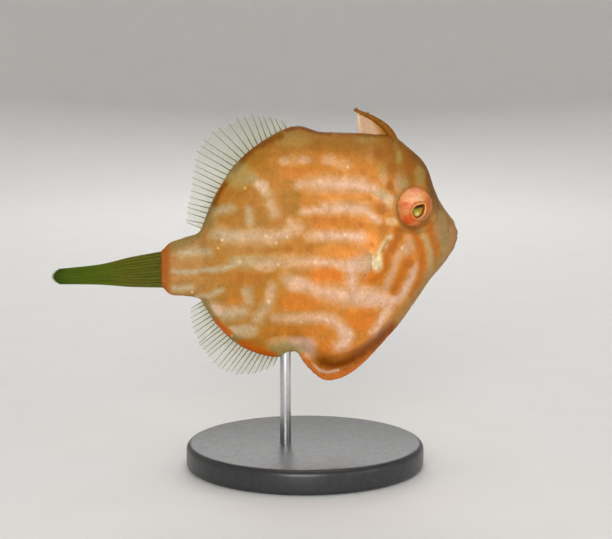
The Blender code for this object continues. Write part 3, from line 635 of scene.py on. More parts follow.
CHEEK_PALE = (
    (10, (411, 239), (410, 247), (405, 252)),
    (8, (405, 247), (396, 260), (393, 270), (389, 279), (386, 288)),
    (8, (417, 266), (412, 277), (406, 287), (399, 298)), (4, (386, 246), (390, 258)),
)
CHEEK_GREEN = ((7, (419, 231), (426, 241), (431, 254), (431, 266), (426, 278)),)
CHEEK_EDGE = ((9, (438, 264), (428, 281), (416, 297), (404, 311), (396, 322)),)
CHEEK_STRIPES = (
    (8, (428, 224), (433, 236), (437, 250), (438, 264)),
    (8, (414, 230), (418, 241), (422, 254), (422, 268), (420, 282), (412, 295)),
    (8, (399, 231), (394, 243), (388, 254), (386, 265), (381, 275), (373, 280)),
    (9, (408, 262), (403, 273), (397, 285), (394, 291)),
)
STRONG_PATCHES = (  # centre, radii, share
    ((326, 275), (22, 14), 0.95), ((364, 317), (20, 19), 0.9), ((302, 302), (30, 10), 0.65),
    ((371, 276), (18, 8), 0.9), ((306, 331), (36, 7), 0.35), ((240, 302), (15, 7), 0.5),
    ((332, 350), (26, 10), 0.8), ((340, 222), (30, 9), 0.4), ((300, 172), (26, 10), 0.35),
    ((250, 279), (34, 9), 0.25), ((220, 188), (8, 14), 0.5), ((222, 226), (12, 5), 0.3),
)
BRIGHT_PATCHES = (
    ((368, 243), (15, 13), 0.85), ((354, 255), (14, 6), 0.7), ((332, 250), (16, 8), 0.45),
    ((366, 219), (12, 5), 0.3), ((368, 199), (12, 7), 0.4), ((345, 196), (26, 6), 0.35),
)
OLIVE_PATCHES = (
    ((262, 218), (15, 12), 0.5), ((260, 160), (13, 11), 0.6), ((291, 200), (13, 22), 0.7),
    ((262, 250), (26, 7), 0.25), ((312, 250), (24, 7), 0.15), ((256, 281), (36, 9), 0.5),
    ((330, 146), (30, 7), 0.5), ((236, 197), (14, 8), 0.3),
)
HEAD_BROWNS = (
    ((390, 150), (4, 10), 0.35), ((392, 168), (5, 7), 0.5), ((390, 186), (5, 6), 0.6),
    ((409, 164), (6, 13), 0.75), ((378, 153), (5, 6), 0.5), ((412, 184), (5, 6), 0.4),
)
SMALL_DOTS = (  # centre, radius of the darker dots that can be told apart
    ((361, 224), 4.0), ((382, 209), 7.0), ((382, 209), 6.0), ((384, 228), 6.0), ((399, 236), 5.0),
    ((379, 155), 7.0), ((389, 147), 5.0), ((364, 172), 4.5), ((341, 174), 4.0), ((320, 151), 5.0),
    ((346, 152), 5.0), ((315, 220), 4.5), ((334, 221), 4.5), ((370, 198), 3.0), ((372, 244), 2.6),
    ((407, 264), 5.0), ((249, 251), 5.0), ((267, 250), 5.0), ((288, 249), 5.5), ((310, 248), 5.5),
    ((201, 245), 3.5), ((219, 241), 3.0), ((241, 277), 5.0), ((259, 279), 5.0),
)
# The pale cream patches on top are painted highlights and the olive-brown one at the lower right is painted
# shade; the others are the skin's own colours
TURRET_PATCHES = (  # centre, radii, share, colour
    ((413, 196), (16, 7), 0.85, (0.91, 0.71, 0.50)), ((418, 190), (5, 5), 0.6, (0.90, 0.55, 0.38)),
    ((418, 198), (9, 4), 0.6, (0.88, 0.74, 0.54)), ((403, 195), (7, 5), 0.6, (0.84, 0.60, 0.36)),
    ((426, 197), (6, 6), 0.6, (0.84, 0.56, 0.26)), ((410, 219), (8, 6), 0.95, (0.80, 0.36, 0.12)),
    ((407, 206), (9, 5), 0.7, (0.84, 0.44, 0.18)), ((401, 209), (4, 4), 0.5, (0.84, 0.48, 0.30)),
    ((405, 212), (4, 3), 0.6, (0.82, 0.58, 0.28)), ((397, 212), (4, 12), 0.8, (0.66, 0.48, 0.22)),
    ((429, 205), (4, 12), 0.9, (0.75, 0.43, 0.09)), ((425, 219), (9, 7), 0.85, (0.58, 0.42, 0.15)),
    ((411, 226), (8, 3), 0.8, (0.84, 0.58, 0.34)), ((411, 200), (6, 3), 0.6, (0.98, 0.74, 0.50)),
)
# Painted highlights on the wet edge of the gill slit and on the pad of the pectoral fin
GILL_HIGHLIGHTS = ((4.5, (390, 236), (385, 242), (380, 250), (380, 262)),)
GILL_PAD_HIGHLIGHTS = (
    ((377, 257), (6, 8), 0.4), ((373, 261), (10, 8), 0.65), ((378, 266), (6, 8), 0.6),
    ((375, 261), (4, 4), 0.5),
)
GLINTS = (
    (371, 252), (378, 259), (372, 264), (376, 268), (276, 243), (266, 236), (345, 235), (350, 333),
    (301, 322), (278, 264), (269, 302), (218, 248), (192, 292), (348, 167), (402, 248), (327, 320),
    (362, 238), (287, 237), (232, 336), (240, 262), (370, 262), (349, 340), (315, 262), (245, 188),
    (222, 240),
)
RED_MARGINS = (
    (7, (241, 159), (249, 152), (258, 146), (270, 140), (280, 136)),
    (5, (214, 204), (218, 196), (225, 184)),
)
LOWER_MARGINS = (
    (7, (214, 321), (221, 328), (229, 334)), (7, (242, 343), (254, 350), (273, 355)),
)
HUMP_MARGIN = (4, (286, 130), (300, 127), (314, 131), (330, 134))
CLEAR_MARGINS = (
    (9, (233, 169), (240, 162)), (8, (206, 224), (209, 214), (213, 205)),
    (6, (205, 301), (210, 311), (215, 318)), (7, (232, 338), (240, 342)),
    (11, (168, 249), (180, 243), (196, 236)),
)
# Painted sheen, pale lilac, where the keel of the flap catches the light
FLAP_SHEEN_LINE = (3.0, (313, 363), (319, 370), (328, 372.5), (338, 370))
FLAP_FAINT_SHEEN_LINE = (2.0, (338, 370), (352, 364), (366, 354), (380, 341))
# Painted shade where the belly turns under, above the flap
FLAP_SHADES = (
    (10, (323, 363), (333, 366), (343, 364), (353, 359), (363, 353), (373, 345), (383, 336), (392, 328)),
)
# Painted shade along the outline of the forehead, where it turns away from the light
PROFILE_SHADE_LINE = ((12, (416, 154), (427, 167), (432, 181), (434, 196), (438, 208)),)
SNOUT_STREAKS = (
    ((6, (443, 228), (445, 242), (440, 262)), SNOUT_GREEN), ((5, (435, 226), (438, 240)), SNOUT_PINK),
    ((4, (440, 215), (444, 224)), SNOUT_GREEN),
)
LIP_FOLD = ((3, (447, 214), (449, 222), (449, 231)),)
BACK_DARK = ((4, (340, 134), (352, 134), (384, 136), (398, 141), (414, 155), (428, 172), (434, 188)),)
BROW = (((412, 156), (34, 40), 0.6),)
EYE_SHADOW = (((410, 230), (17, 5), 0.4),)
# A painted glint behind the eye, and a pale streak behind it lower down
CREAM_STREAK_AND_GLINT = (((389, 202), (5, 8), 0.55), ((392, 222), (8, 5), 0.65))
SPECKLE_SPACING = 4.5
SPECKLE_RADIUS = 1.2
DOT_SHARE = 0.34
GLINT_RADIUS = 1.1

# Where broad colours begin, and how wide they fade in, in the same pixels: backwards where negative
FRONT_FROM = (225, 120)
REAR_UP_TO = (245, -50)
BACK_EDGE = 168
BACK_FADE = 36
BACK_DROP = 8
BACK_DROP_FROM = (335, 30)
SNOUT_FROM = (424, 18)
SNOUT_ABOVE = (290, -34)
SNOUT_BELOW = (172, 44)
LIPS_FROM = (447, 6)
STALK_END_UP_TO = (174, -8)
SAIL_EDGE_X = 358
SAIL_SHADE = ((364, 112), 0.55, 9)  # a point of its edge, how far that leans, width


def stroke_share(px, py, stroke, soft=0.55):
    """How much paint of one stroke lies at each place, 1 along its middle."""
    width = stroke[0]
    points = np.array(stroke[1:], float)
    nearest = np.full(len(px), 1e9)
    for a, b in zip(points, points[1:]):
        ab = b - a
        t = np.clip(((px - a[0]) * ab[0] + (py - a[1]) * ab[1]) / (ab @ ab), 0, 1)
        nearest = np.minimum(nearest, np.hypot(px - a[0] - ab[0] * t, py - a[1] - ab[1] * t))
    return 1 - fade(nearest, width / 2 * (1 - soft), width * soft)


def all_strokes(px, py, strokes, soft):
    share = np.zeros(len(px))
    for stroke in strokes:
        share = np.maximum(share, stroke_share(px, py, stroke, soft))
    return share


def patch_share(px, py, centre, radii):
    return 1 - fade(np.hypot((px - centre[0]) / radii[0], (py - centre[1]) / radii[1]), 0.45, 0.75)


class Coat:
    """Colours at points, painted over one another. The points' places are two coordinates."""

    def __init__(self, ground, across, down):
        self.colours = np.tile(np.array(ground), (len(across), 1))
        self.across = across
        self.down = down

    def paint(self, share, colour):
        share = np.clip(share, 0, 1)[:, None]
        self.colours = self.colours * (1 - share) + np.array(colour) * share

    def strokes(self, strokes, soft, share, colour):
        self.paint(share * all_strokes(self.across, self.down, strokes, soft), colour)

    def patches(self, patches, colour, ragged=1.0):
        for centre, radii, share in patches:
            self.paint(share * ragged * patch_share(self.across, self.down, centre, radii), colour)


def scattered(row, column, row_turn, column_turn):
    """A share for each cell of a grid that looks random and is always the same."""
    spin = np.sin(row * row_turn + column * column_turn + 1.0) * 43758.5453
    return spin - np.floor(spin)


def speckles(px, py):
    """Small round dots in staggered rows, 1 in a dot's middle."""
    rows = np.floor(py / SPECKLE_SPACING)
    share = np.zeros(len(px))
    for step in (-1, 0, 1):
        row = rows + step
        shift = 0.5 * SPECKLE_SPACING * (row % 2)
        column = np.round((px - shift) / SPECKLE_SPACING)
        jitter = scattered(row, column, 127.1, 311.7)
        other = scattered(row, column, 269.5, 183.3)
        cx = column * SPECKLE_SPACING + shift + (jitter - 0.5) * SPECKLE_SPACING * 0.5
        cy = (row + other * 0.5 + 0.25) * SPECKLE_SPACING
        size = SPECKLE_RADIUS * (0.6 + 0.6 * jitter)
        share = np.maximum(share, bell(np.hypot(px - cx, py - cy) / size))
    return share


def paint_flank(coat, near_side, px, fine):
    """The ground, the pale bands, and the back and forehead, darker as their own brown and as painted shade.
    """
    forward = fade(px, *FRONT_FROM)
    coat.paint(forward, ORANGE)
    coat.paint(0.8 * bumps(near_side, 7.0, 2, 11.0), OCHRE)
    coat.patches(OLIVE_PATCHES, OLIVE)
    coat.patches(STRONG_PATCHES, STRONG_ORANGE)
    coat.patches(BRIGHT_PATCHES, BRIGHT_ORANGE)
    coat.paint(0.5 * fade(px, *REAR_UP_TO), REAR_TAN)
    pale = all_strokes(coat.across, coat.down, PALE_BANDS, 1.25) * (0.95 + 0.15 * fine)
    # The pale bands are duller towards the rear: partly painted shade, as the light falls off away from the
    # middle of the body
    coat.paint(pale * (1 - forward), REAR_PALE)
    coat.paint(pale * forward, PALE)
    coat.patches(FUZZY_PALES, PALE)
    coat.paint(0.14 * speckles(coat.across, coat.down), DOT_BROWN)
    # The back and forehead darken towards the top: partly the fish's own brown, partly painted shade where
    # they turn away from the light
    back_edge = BACK_EDGE + BACK_DROP * fade(coat.across, *BACK_DROP_FROM)
    coat.paint(0.75 * fade(coat.down, back_edge, -BACK_FADE), BACK_TAN_AND_SHADE)
    coat.patches(BROW, BACK_BROWN_AND_SHADE)
    # Painted shade along the outline of the forehead, where it turns away from the light
    coat.strokes(PROFILE_SHADE_LINE, 1.0, 0.95, PROFILE_SHADE)


def paint_head(coat, x, y, z):
    """Snout, brown and greenish patches, cheek, lips and mouth."""
    snout = fade(coat.across, *SNOUT_FROM) * fade(coat.down, *SNOUT_ABOVE) * fade(coat.down, *SNOUT_BELOW)
    coat.paint(0.9 * snout, SNOUT_GREY)
    coat.patches(GREENISH_PALES, GREENISH)
    coat.patches(HEAD_BROWNS, HEAD_BROWN)
    coat.strokes(BACK_DARK, 0.9, 0.7, BACK_LINE)
    aside = fade(y, 0.4, 1.8)
    coat.strokes(CHEEK_PALE, 0.9, 0.7, CHEEK_PALE_TINT)
    coat.strokes(CHEEK_GREEN, 0.9, 0.85 * aside, CHEEK_GREENISH)
    coat.strokes(CHEEK_STRIPES, 0.85, 0.9 * aside, CHEEK_ORANGE)
    coat.strokes(CHEEK_EDGE, 1.0, 0.75, CHEEK_EDGE_TINT)
    for stroke, tint in SNOUT_STREAKS:
        coat.strokes((stroke,), 1.0, 0.6, tint)
    coat.paint(0.85 * fade(coat.across, *LIPS_FROM), LIP_TAN)
    coat.strokes(LIP_FOLD, 1.0, 0.5, LIP_LINE)
    mouth = bell((z - mouth_line(y)) / 0.14) * fade(x, 27.6, 0.8)
    coat.paint(0.5 * mouth * fade(y, 1.7, -0.5), MOUTH_BROWN)


def paint_openings(coat, near_side, x, z):
    """Eye bed with painted shade round it, nostrils and gill slit, and the pad of the pectoral fin with
    painted highlights.
    """
    r = eye_distance(x, z)
    shade = bell((r - 0.99) / 0.12)
    below = fade(z, EYE[2], -4.0)
    behind = fade(x, EYE[0], -3.0) * (1 - below)
    # Painted shade round the eye's outline: olive behind it, darker in the crease below it, and a painted
    # shadow under the eye
    coat.paint(0.6 * shade * behind, EYE_EDGE_SHADE)
    coat.paint((0.15 * (1 - behind) + 0.5 * below) * shade, CREASE_SHADE)
    coat.patches(EYE_SHADOW, CREASE_SHADE)
    coat.paint(0.8 * (1 - fade(r, 0.82, 0.1)), EYE_BED)
    for nx, nz in NOSTRILS:
        coat.paint(0.5 * bell(np.hypot(x - nx, z - nz) / 0.22), NOSTRIL_BROWN)
    # Painted highlights on the wet edge of the gill slit and on the pad of the pectoral fin
    coat.strokes(GILL_HIGHLIGHTS, 1.2, 0.7, GILL_HIGHLIGHT)
    coat.patches(GILL_PAD_HIGHLIGHTS, GILL_HIGHLIGHT, smoothstep(0.9 + 0.9 * bumps(near_side, 0.8, 2, 51.0)))
    off, along = off_line(x, z, GILL_TOP, GILL_BOTTOM)
    coat.paint(0.35 * bell(off / 0.20) * fade(along, -0.3, 0.9) * fade(along, 3.6, -0.9), GILL_SLIT)
    # A painted glint behind the eye, and a pale streak behind it lower down
    coat.patches(CREAM_STREAK_AND_GLINT, CREAM)


def paint_edges(coat, px, py, x, y, z):
    """Fin bases, tail stalk and flap, with painted shade above the flap and a painted sheen along its keel.
    """
    for margins, tint in ((CLEAR_MARGINS, CLEAR_EDGE), (RED_MARGINS, RED_EDGE), (LOWER_MARGINS, LOWER_RED)):
        coat.strokes(margins, 0.9, 0.85, tint)
    coat.paint(0.95 * stroke_share(px, py, HUMP_MARGIN, 0.9), HUMP_EDGE)
    coat.paint(0.85 * fade(px, *STALK_END_UP_TO), STALK_END)
    on_flap = fade(above_crease(x, z), 0.4, -0.9) * fade(x, -3.5, 1.5) * fade(x, 19, -4)
    coat.paint(0.85 * on_flap, FLAP_ORANGE)
    # Painted shade where the belly turns under, above the flap
    coat.strokes(FLAP_SHADES, 1.0, 0.9, FLAP_SHADE)
    outside = on_flap * fade(y, 0.25, 0.2)
    # Painted sheen along the keel of the flap
    coat.paint(0.9 * outside * stroke_share(px, py, FLAP_SHEEN_LINE, 0.7), FLAP_SHEEN)
    coat.paint(0.3 * outside * stroke_share(px, py, FLAP_FAINT_SHEEN_LINE, 0.8), FLAP_SHEEN)


def skin_colours(points):
    """The markings of the skin at each point, with painted shade and highlights, alike on both sides."""
    x = points[:, 0]
    y = np.abs(points[:, 1])
    z = points[:, 2]
    near_side = np.stack((x, -y, z), axis=1)
    px, py = in_photo(near_side)
    fine = bumps(near_side, 1.8, 2, 3.0)
    fleck = bumps(near_side, 0.5, 2, 23.0)
    # The markings' edges waver
    wx = px + 1.4 * fine + 0.4 * fleck
    wy = py + 1.3 * bumps(near_side, 2.0, 2, 31.0) + 0.4 * fleck
    coat = Coat(OCHRE, wx, wy)
    paint_flank(coat, near_side, px, fine)
    paint_head(coat, x, y, z)
    paint_openings(coat, near_side, x, z)
    paint_edges(coat, px, py, x, y, z)
    for centre, radius in SMALL_DOTS:
        coat.patches(((centre, (radius, radius), DOT_SHARE),), DOT_BROWN)
    for gx, gy in GLINTS:
        coat.paint(0.7 * bell(np.hypot(px - gx, py - gy) / GLINT_RADIUS), GLINT_CREAM)
    return coat.colours * (1 + 0.04 * fleck + 0.06 * fine)[:, None] * np.array(CLEAR_OF_WATER)


def add_skin(material):
    rings = list(body_rings())
    snout, snout_tip = end_cap(rings[-1], SNOUT_CAP, CAP_RINGS)
    tail, tail_tip = end_cap(rings[0], -TAIL_CAP, CAP_RINGS // 2)
    rings = softened(np.array(tail[::-1] + rings + snout))
    columns = rings.shape[1]
    points = np.concatenate((rings.reshape(-1, 3), tail_tip[None], snout_tip[None]))
    faces = grid_faces(len(rings), columns, closed=True)
    last = len(rings) * columns
    front = (len(rings) - 1) * columns
    for c in range(columns):
        d = (c + 1) % columns
        faces.append((c, d, last))
        faces.append((front + c, front + d, last + 1))
    skin = mesh_piece("skin", points, faces, material)
    normals = np.empty(len(points) * 3)
    skin.data.vertex_normals.foreach_get("vector", normals)
    normals = normals.reshape(-1, 3)
    moved = points + normals * skin_relief(points)[:, None]
    placed = ((moved + DATUM) * MM).astype(np.float32)
    skin.data.vertices.foreach_set("co", placed.ravel())
    skin.data.update()
    add_colour(skin, skin_colours(points))
    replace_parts(skin, "head", "mouth", "trunk", "tail_stalk", "ventral_flap")


# Eyes

def eye_axes():
    """Where the right eye looks, and the directions forward and up across it."""
    dx = PUPIL_SHIFT[0] / EYE_RADII[0]
    dz = PUPIL_SHIFT[1] / EYE_RADII[2]
    axis = np.array((dx, -math.sqrt(1 - dx * dx - dz * dz), dz))
    forward = np.cross((0.0, 0.0, 1.0), axis)
    forward /= np.linalg.norm(forward)
    return axis, forward, np.cross(axis, forward)


def eye_directions(theta, phi):
    """Directions theta away from the right eye's axis, phi round it from forward to up."""
    axis, forward, up = eye_axes()
    across = forward * np.cos(phi)[:, None] + up * np.sin(phi)[:, None]
    return axis * np.cos(theta)[:, None] + across * np.sin(theta)[:, None]


def opening_shape(phi):
    """The eye's opening as a share of its mean radius: flat above, drawn out to a corner in front."""
    angles, radii = np.array(OPENING).T
    total = sum(np.interp(np.degrees(phi) + turn, angles, radii, period=360) for turn in OPENING_BLUR)
    return total / len(OPENING_BLUR)


def turret_folds(phi, wide):
    """Fine folds that run out from the eye's opening, -1 to 1."""
    return np.sin(31 * phi + 3 * np.sin(4 * phi + wide))


def eye_turret(side, sign, material):
    """The skin that covers the eye, with an opening whose raised rim rolls in."""
    phi = np.linspace(0, 2 * np.pi, EYE_AROUND, endpoint=False)
    lip = curve(EYE_LIP, np.linspace(0, len(EYE_LIP) - 1, EYE_LIP_RINGS))
    cover = math.radians(EYE_COVER)
    outer = np.linspace(lip[-1, 0], cover / APERTURE, EYE_OUTER_RINGS)[1:]
    profile = np.concatenate((lip, np.stack((outer, 0 * outer), axis=1)))
    rings = []
    for wide, inward in profile:
        uneven = 1 + (opening_shape(phi) - 1) * math.exp(-max(wide - 1, 0) / 0.6)
        theta = np.minimum(APERTURE * wide * uneven, cover)
        folds = 0.014 * turret_folds(phi, wide) + 0.045 * math.sin(wide * 4.2)
        folds = folds * fade(wide, 1.15, 0.6) * fade(wide, 5.6, -2.0)
        rings.append(eye_directions(theta, phi) * (EYE_RADII - inward + folds[:, None]))
    points = np.concatenate(rings)
    points *= (1 + 0.012 * bumps(points, 0.7, 3, 41.0) + 0.012 * bumps(points, 2.0, 2, 17.0))[:, None]
    points = points + EYE * (1, -1, 1)
    shares = np.repeat(profile[:, 0], EYE_AROUND)
    faces = grid_faces(len(profile), EYE_AROUND, closed=True)
    faces.append(tuple(range((len(profile) - 1) * EYE_AROUND, len(profile) * EYE_AROUND)))
    turret = mesh_piece(f"eye_skin_{side}", points * (1, -sign, 1), faces, material)
    add_colour(turret, turret_colours(points, shares, np.tile(phi, len(profile))))
    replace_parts(turret, f"eye_{side}")


def turret_colours(points, wide, phi):
    px, py = in_photo(points)
    fine = bumps(points, 0.8, 3, 5.0)
    coat = Coat(TURRET, px + 2.0 * fine, py + 2.0 * bumps(points, 0.9, 3, 13.0))
    for *patch, tint in TURRET_PATCHES:
        coat.patches((patch,), tint)
    streaks = smoothstep(turret_folds(phi, wide) * fade(wide, 1.4, 0.5))
    coat.paint(0.10 * streaks * fade(wide, 4.6, -2.0), TURRET_RED)
    upper = 0.5 + 0.5 * np.cos(phi - math.radians(60))
    coat.paint(bell((wide - 1.05) / 0.09) * (0.25 + 0.6 * upper), RIM_GOLD)
    coat.paint(0.45 * bell((wide - 1.30) / 0.09) * upper, RIM_SHADE)
    coat.paint(0.9 * (1 - fade(wide, 0.90, 0.12)), RIM_SHADE)
    # Painted shade round the foot of the eye's skin, stronger below
    foot = fade(eye_distance(points[:, 0], points[:, 2]), 0.88, 0.12)
    coat.paint(foot * (0.15 + 0.4 * fade(points[:, 2], EYE[2] + 1.0, -4.0)), TURRET_FOOT_SHADE)
    return coat.colours * (1 + 0.06 * fine)[:, None] * np.array(CLEAR_OF_WATER)


def eyeball(side, sign, material):
    """The globe behind the opening: a dark olive pupil in a gold iris, with a painted shadow above and a
    painted highlight below.
    """
    axis = eye_axes()[0]
    centre = EYE * (1, -1, 1) + axis * (EYE_RADII - GLOBE_RADIUS - GLOBE_DEPTH)
    phi = np.linspace(0, 2 * np.pi, EYE_AROUND, endpoint=False)
    points = [axis[None] * GLOBE_RADIUS]
    colours = [np.array(PUPIL_OLIVE)[None]]
    for theta in np.linspace(0, math.pi * 0.62, GLOBE_RINGS)[1:]:
        points.append(eye_directions(np.full(EYE_AROUND, theta), phi) * GLOBE_RADIUS)
        colours.append(iris_colours(theta, phi))
    faces = [(0, 1 + c, 1 + (c + 1) % EYE_AROUND) for c in range(EYE_AROUND)]
    faces += [tuple(i + 1 for i in f) for f in grid_faces(GLOBE_RINGS - 1, EYE_AROUND, closed=True)]
    last = 1 + (GLOBE_RINGS - 2) * EYE_AROUND
    faces.append(tuple(range(last, last + EYE_AROUND)))
    points = (np.concatenate(points) + centre) * (1, -sign, 1)
    globe = mesh_piece(f"eyeball_{side}", points, faces, material)
    add_colour(globe, np.concatenate(colours))


def iris_colours(theta, phi):
    across = np.cos(phi) * theta
    up = np.sin(phi) * theta
    coat = Coat(PUPIL_OLIVE, across, up)
    coat.paint(0.6 * fade(across, 0.04, 0.14), PUPIL_TAN)
    # Painted shadow of the upper rim across the top of the eyeball, and a painted highlight low in it
    coat.paint(0.9 * fade(up - 0.15 * across, 0.13, 0.16), PUPIL_RIM_SHADOW)
    coat.paint(0.85 * np.exp(-((across + 0.02) ** 2 + (up + 0.30) ** 2) / 0.05), PUPIL_HIGHLIGHT)
    streaks = 0.85 + 0.15 * np.sin(37 * phi + 2 * np.sin(5 * phi))
    iris = fade(theta, PUPIL_ANGLE * opening_shape(phi), 0.05)
    coat.paint(iris, np.array(IRIS_GOLD) * streaks[:, None])
    return coat.colours


# Fins

def edge_rays(edge, base, count, heights, leans, sign):
    """Root and tip, in the middle plane, of each ray of a fin along the back or the belly."""
    uneven = random.Random(count)
    line = curve(edge, np.linspace(base[0], base[1], EDGE_SAMPLES + 1))
    steps = np.linalg.norm(np.diff(line, axis=0), axis=1)
    lengths = np.concatenate(([0.0], np.cumsum(steps)))
    rays = []
    for i in range(count):
        share = i / (count - 1)
        k = int(np.argmax(lengths >= min(share, 0.9999) * lengths[-1]))
        along = line[min(k + 3, EDGE_SAMPLES)] - line[max(k - 3, 0)]
        along = along / np.linalg.norm(along)
        out = Vector((along[1], -along[0])) * sign
        lean = value_along(leans, share) + uneven.uniform(-UNEVEN_LEAN, UNEVEN_LEAN)
        way = Matrix.Rotation(math.radians(lean) * sign, 2) @ out
        root = Vector(line[k]) + out * GAP
        tip = root + way * value_along(heights, share) * uneven.uniform(*UNEVEN_HEIGHT)
        rays.append((root, tip))
    return rays


def web_reach(column):
    """How far the membrane reaches between two rays, as a share of their length."""
    middle = math.sin(math.pi * (column % WEB_STEPS) / WEB_STEPS)
    return 1 - (1 - SCALLOP) * middle**0.7 - WEB_SHORT


def fin_ray(place, start, radii, count):
    """A ray through the points that place gives from start to 1, and its tapering radii."""
    shares = [k / (count - 1) for k in range(count)]
    path = [place(start + (1 - start) * share) for share in shares]
    return path, [between(radii, share) for share in shares]


def clear_fin(name, node, sheet, columns, shares, rays, webs, lines):
    """A clear membrane with fine rays, which stands for the solid fin."""
    web = thin_sheet(name + "_web", sheet, columns, WEB_HALF, webs)
    add_share(web, shares + shares, "reach")
    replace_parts(web, node)
    tube_piece(name + "_rays", rays, lines)


def soft_fin(name, node, rays, wave, webs, lines):
    """A fin of the back or the belly, which sways like the solid."""
    last = len(rays) - 1

    def place(i, f, t):
        root, tip = rays[i]
        if f:
            root = root.lerp(rays[i + 1][0], f)
            tip = tip.lerp(rays[i + 1][1], f)
        point = root.lerp(tip, t)
        share = (i + f) / last
        sway = wave * max(t, 0) * math.sin(2 * math.pi * FIN_WAVES * share)
        curl = FIN_CURL * math.sin(share * FIN_CURLS) * t * t
        return Vector((point.x, sway + curl, point.y))

    sunk = [-FIN_SUNK / (tip - root).length for root, tip in rays]
    sheet = []
    shares = []
    columns = last * WEB_STEPS + 1
    for c in range(columns):
        i = min(c // WEB_STEPS, last - 1)
        for r in range(WEB_ROWS):
            t = sunk[i] + (web_reach(c) - sunk[i]) * r / (WEB_ROWS - 1)
            sheet.append(place(i, c / WEB_STEPS - i, t))
            shares.append(t)
    tubes = [fin_ray(lambda t: place(i, 0, t), sunk[i], RAY_RADIUS, RAY_POINTS) for i in range(last + 1)]
    clear_fin(name, node, sheet, columns, shares, tubes, webs, lines)


def two_sided_faces(columns, rows):
    """Faces of two like grids of points, one behind the other, and of the rim that joins them."""
    total = columns * rows
    faces = grid_faces(columns, rows)
    faces += [tuple(i + total for i in f[::-1]) for f in faces]
    rim = [c * rows for c in range(columns)]
    rim += [(columns - 1) * rows + r for r in range(1, rows)]
    rim += [c * rows + rows - 1 for c in range(columns - 2, -1, -1)]
    rim += list(range(rows - 2, 0, -1))
    return faces + [(p, q, q + total, p + total) for p, q in zip(rim, rim[1:] + rim[:1])]


def thin_sheet(name, sheet, columns, half, material):
    """A closed sheet of the given half thickness from a grid of points, column by column."""
    grid = np.array(sheet).reshape(columns, -1, 3)
    normal = np.cross(np.gradient(grid, axis=0), np.gradient(grid, axis=1))
    normal /= np.linalg.norm(normal, axis=2)[:, :, None]
    points = np.concatenate([(grid + normal * side).reshape(-1, 3) for side in (half, -half)])
    return mesh_piece(name, points, two_sided_faces(columns, grid.shape[1]), material)


def tube_points(path, radii, sides):
    """Rings of points round a path, and the faces of the closed tube."""
    path = [Vector(p) for p in path]
    points = []
    for i, p in enumerate(path):
        along = (path[min(i + 1, len(path) - 1)] - path[max(i - 1, 0)]).normalized()
        across = along.cross(Vector((0, 1, 0)))
        across = across.normalized() if across.length > 1e-4 else Vector((1, 0, 0))
        other = along.cross(across)
        for j in range(sides):
            angle = 2 * math.pi * j / sides
            points.append(p + (across * math.cos(angle) + other * math.sin(angle)) * radii[i])
    faces = grid_faces(len(path), sides, closed=True)
    faces.append(tuple(range(sides)))
    faces.append(tuple(range((len(path) - 1) * sides, len(path) * sides)))
    return points, faces


def tube_piece(name, tubes, material, sides=8):
    points = []
    faces = []
    for path, radii in tubes:
        new_points, new_faces = tube_points(path, radii, sides)
        faces += [tuple(i + len(points) for i in f) for f in new_faces]
        points += new_points
    return mesh_piece(name, np.array(points), faces, material)


def caudal_fin(material):
    """The folded tail fin: pleats narrow with the rays that lie along their crests."""
    def place(share, t):
        off = 2 * share - 1
        root = Vector((CAUDAL_ROOT_X, between(CAUDAL_ROOT_Z, share)))
        waist = Vector((CAUDAL_WAIST[0], between(CAUDAL_WAIST[1:], share)))
        tip = Vector((CAUDAL_TIP_X - CAUDAL_TIP_ROUND * (1 - off * off), between(CAUDAL_TIP_Z, share)))
        path = (root, root.lerp(waist, 0.52) - Vector((0, CAUDAL_BULGE * off)), waist, tip)
        x, z = curve(path, 3 * t)[0]
        depth, folds = CAUDAL_FOLDS
        return x, depth * math.sin(2 * math.pi * folds * share) * 2 * t * (1 - t), z

    columns = (CAUDAL_RAYS - 1) * CAUDAL_STEPS + 1
    left = []
    right = []
    colours = []
    for c in range(columns):
        share = c / (columns - 1)
        turn = math.pi * c / CAUDAL_STEPS
        crest = (0.5 + 0.5 * math.cos(2 * turn)) ** 2
        branch = (0.5 + 0.5 * math.cos(4 * turn)) ** 3
        for r in range(CAUDAL_ROWS):
            t = r / (CAUDAL_ROWS - 1)
            x, y, z = place(share, t * (0.985 + 0.015 * crest))
            half = between(CAUDAL_HALF, t) * (0.45 + 0.55 * fade(min(share, 1 - share), 0.0, 0.06))
            pleat = CAUDAL_PLEAT * (1 - 0.6 * t) * math.cos(turn)
            ridge = half * (0.62 + 0.38 * crest)
            left.append((x, y + pleat + ridge, z))
            right.append((x, y + pleat - ridge, z))
            colours.append(tail_colour(share, t, max(0.8 * crest, 0.6 * branch * t)))
    faces = two_sided_faces(columns, CAUDAL_ROWS)
    fin = mesh_piece("caudal_fin_folded", np.array(left + right), faces, material)
    add_colour(fin, np.array(colours + colours))
    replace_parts(fin, "caudal_fin")


def tail_colour(share, t, crest):
    """Olive with light rays near the root, clear yellow-green at the tip."""
    streak = noise.noise(Vector((share * 60.0, t * 4.0, 3.0)))
    colour = curve(TAIL_WEB, 3 * t)[0] * (1 - crest) + curve(TAIL_RAY, 3 * t)[0] * crest
    colour = colour * (1 + 0.22 * streak) * (1 - 0.25 * fade(t, 0.90, 0.10))
    base = fade(t, 0.06, -0.06)
    return colour * (1 - base) + np.array(STALK_END) * base


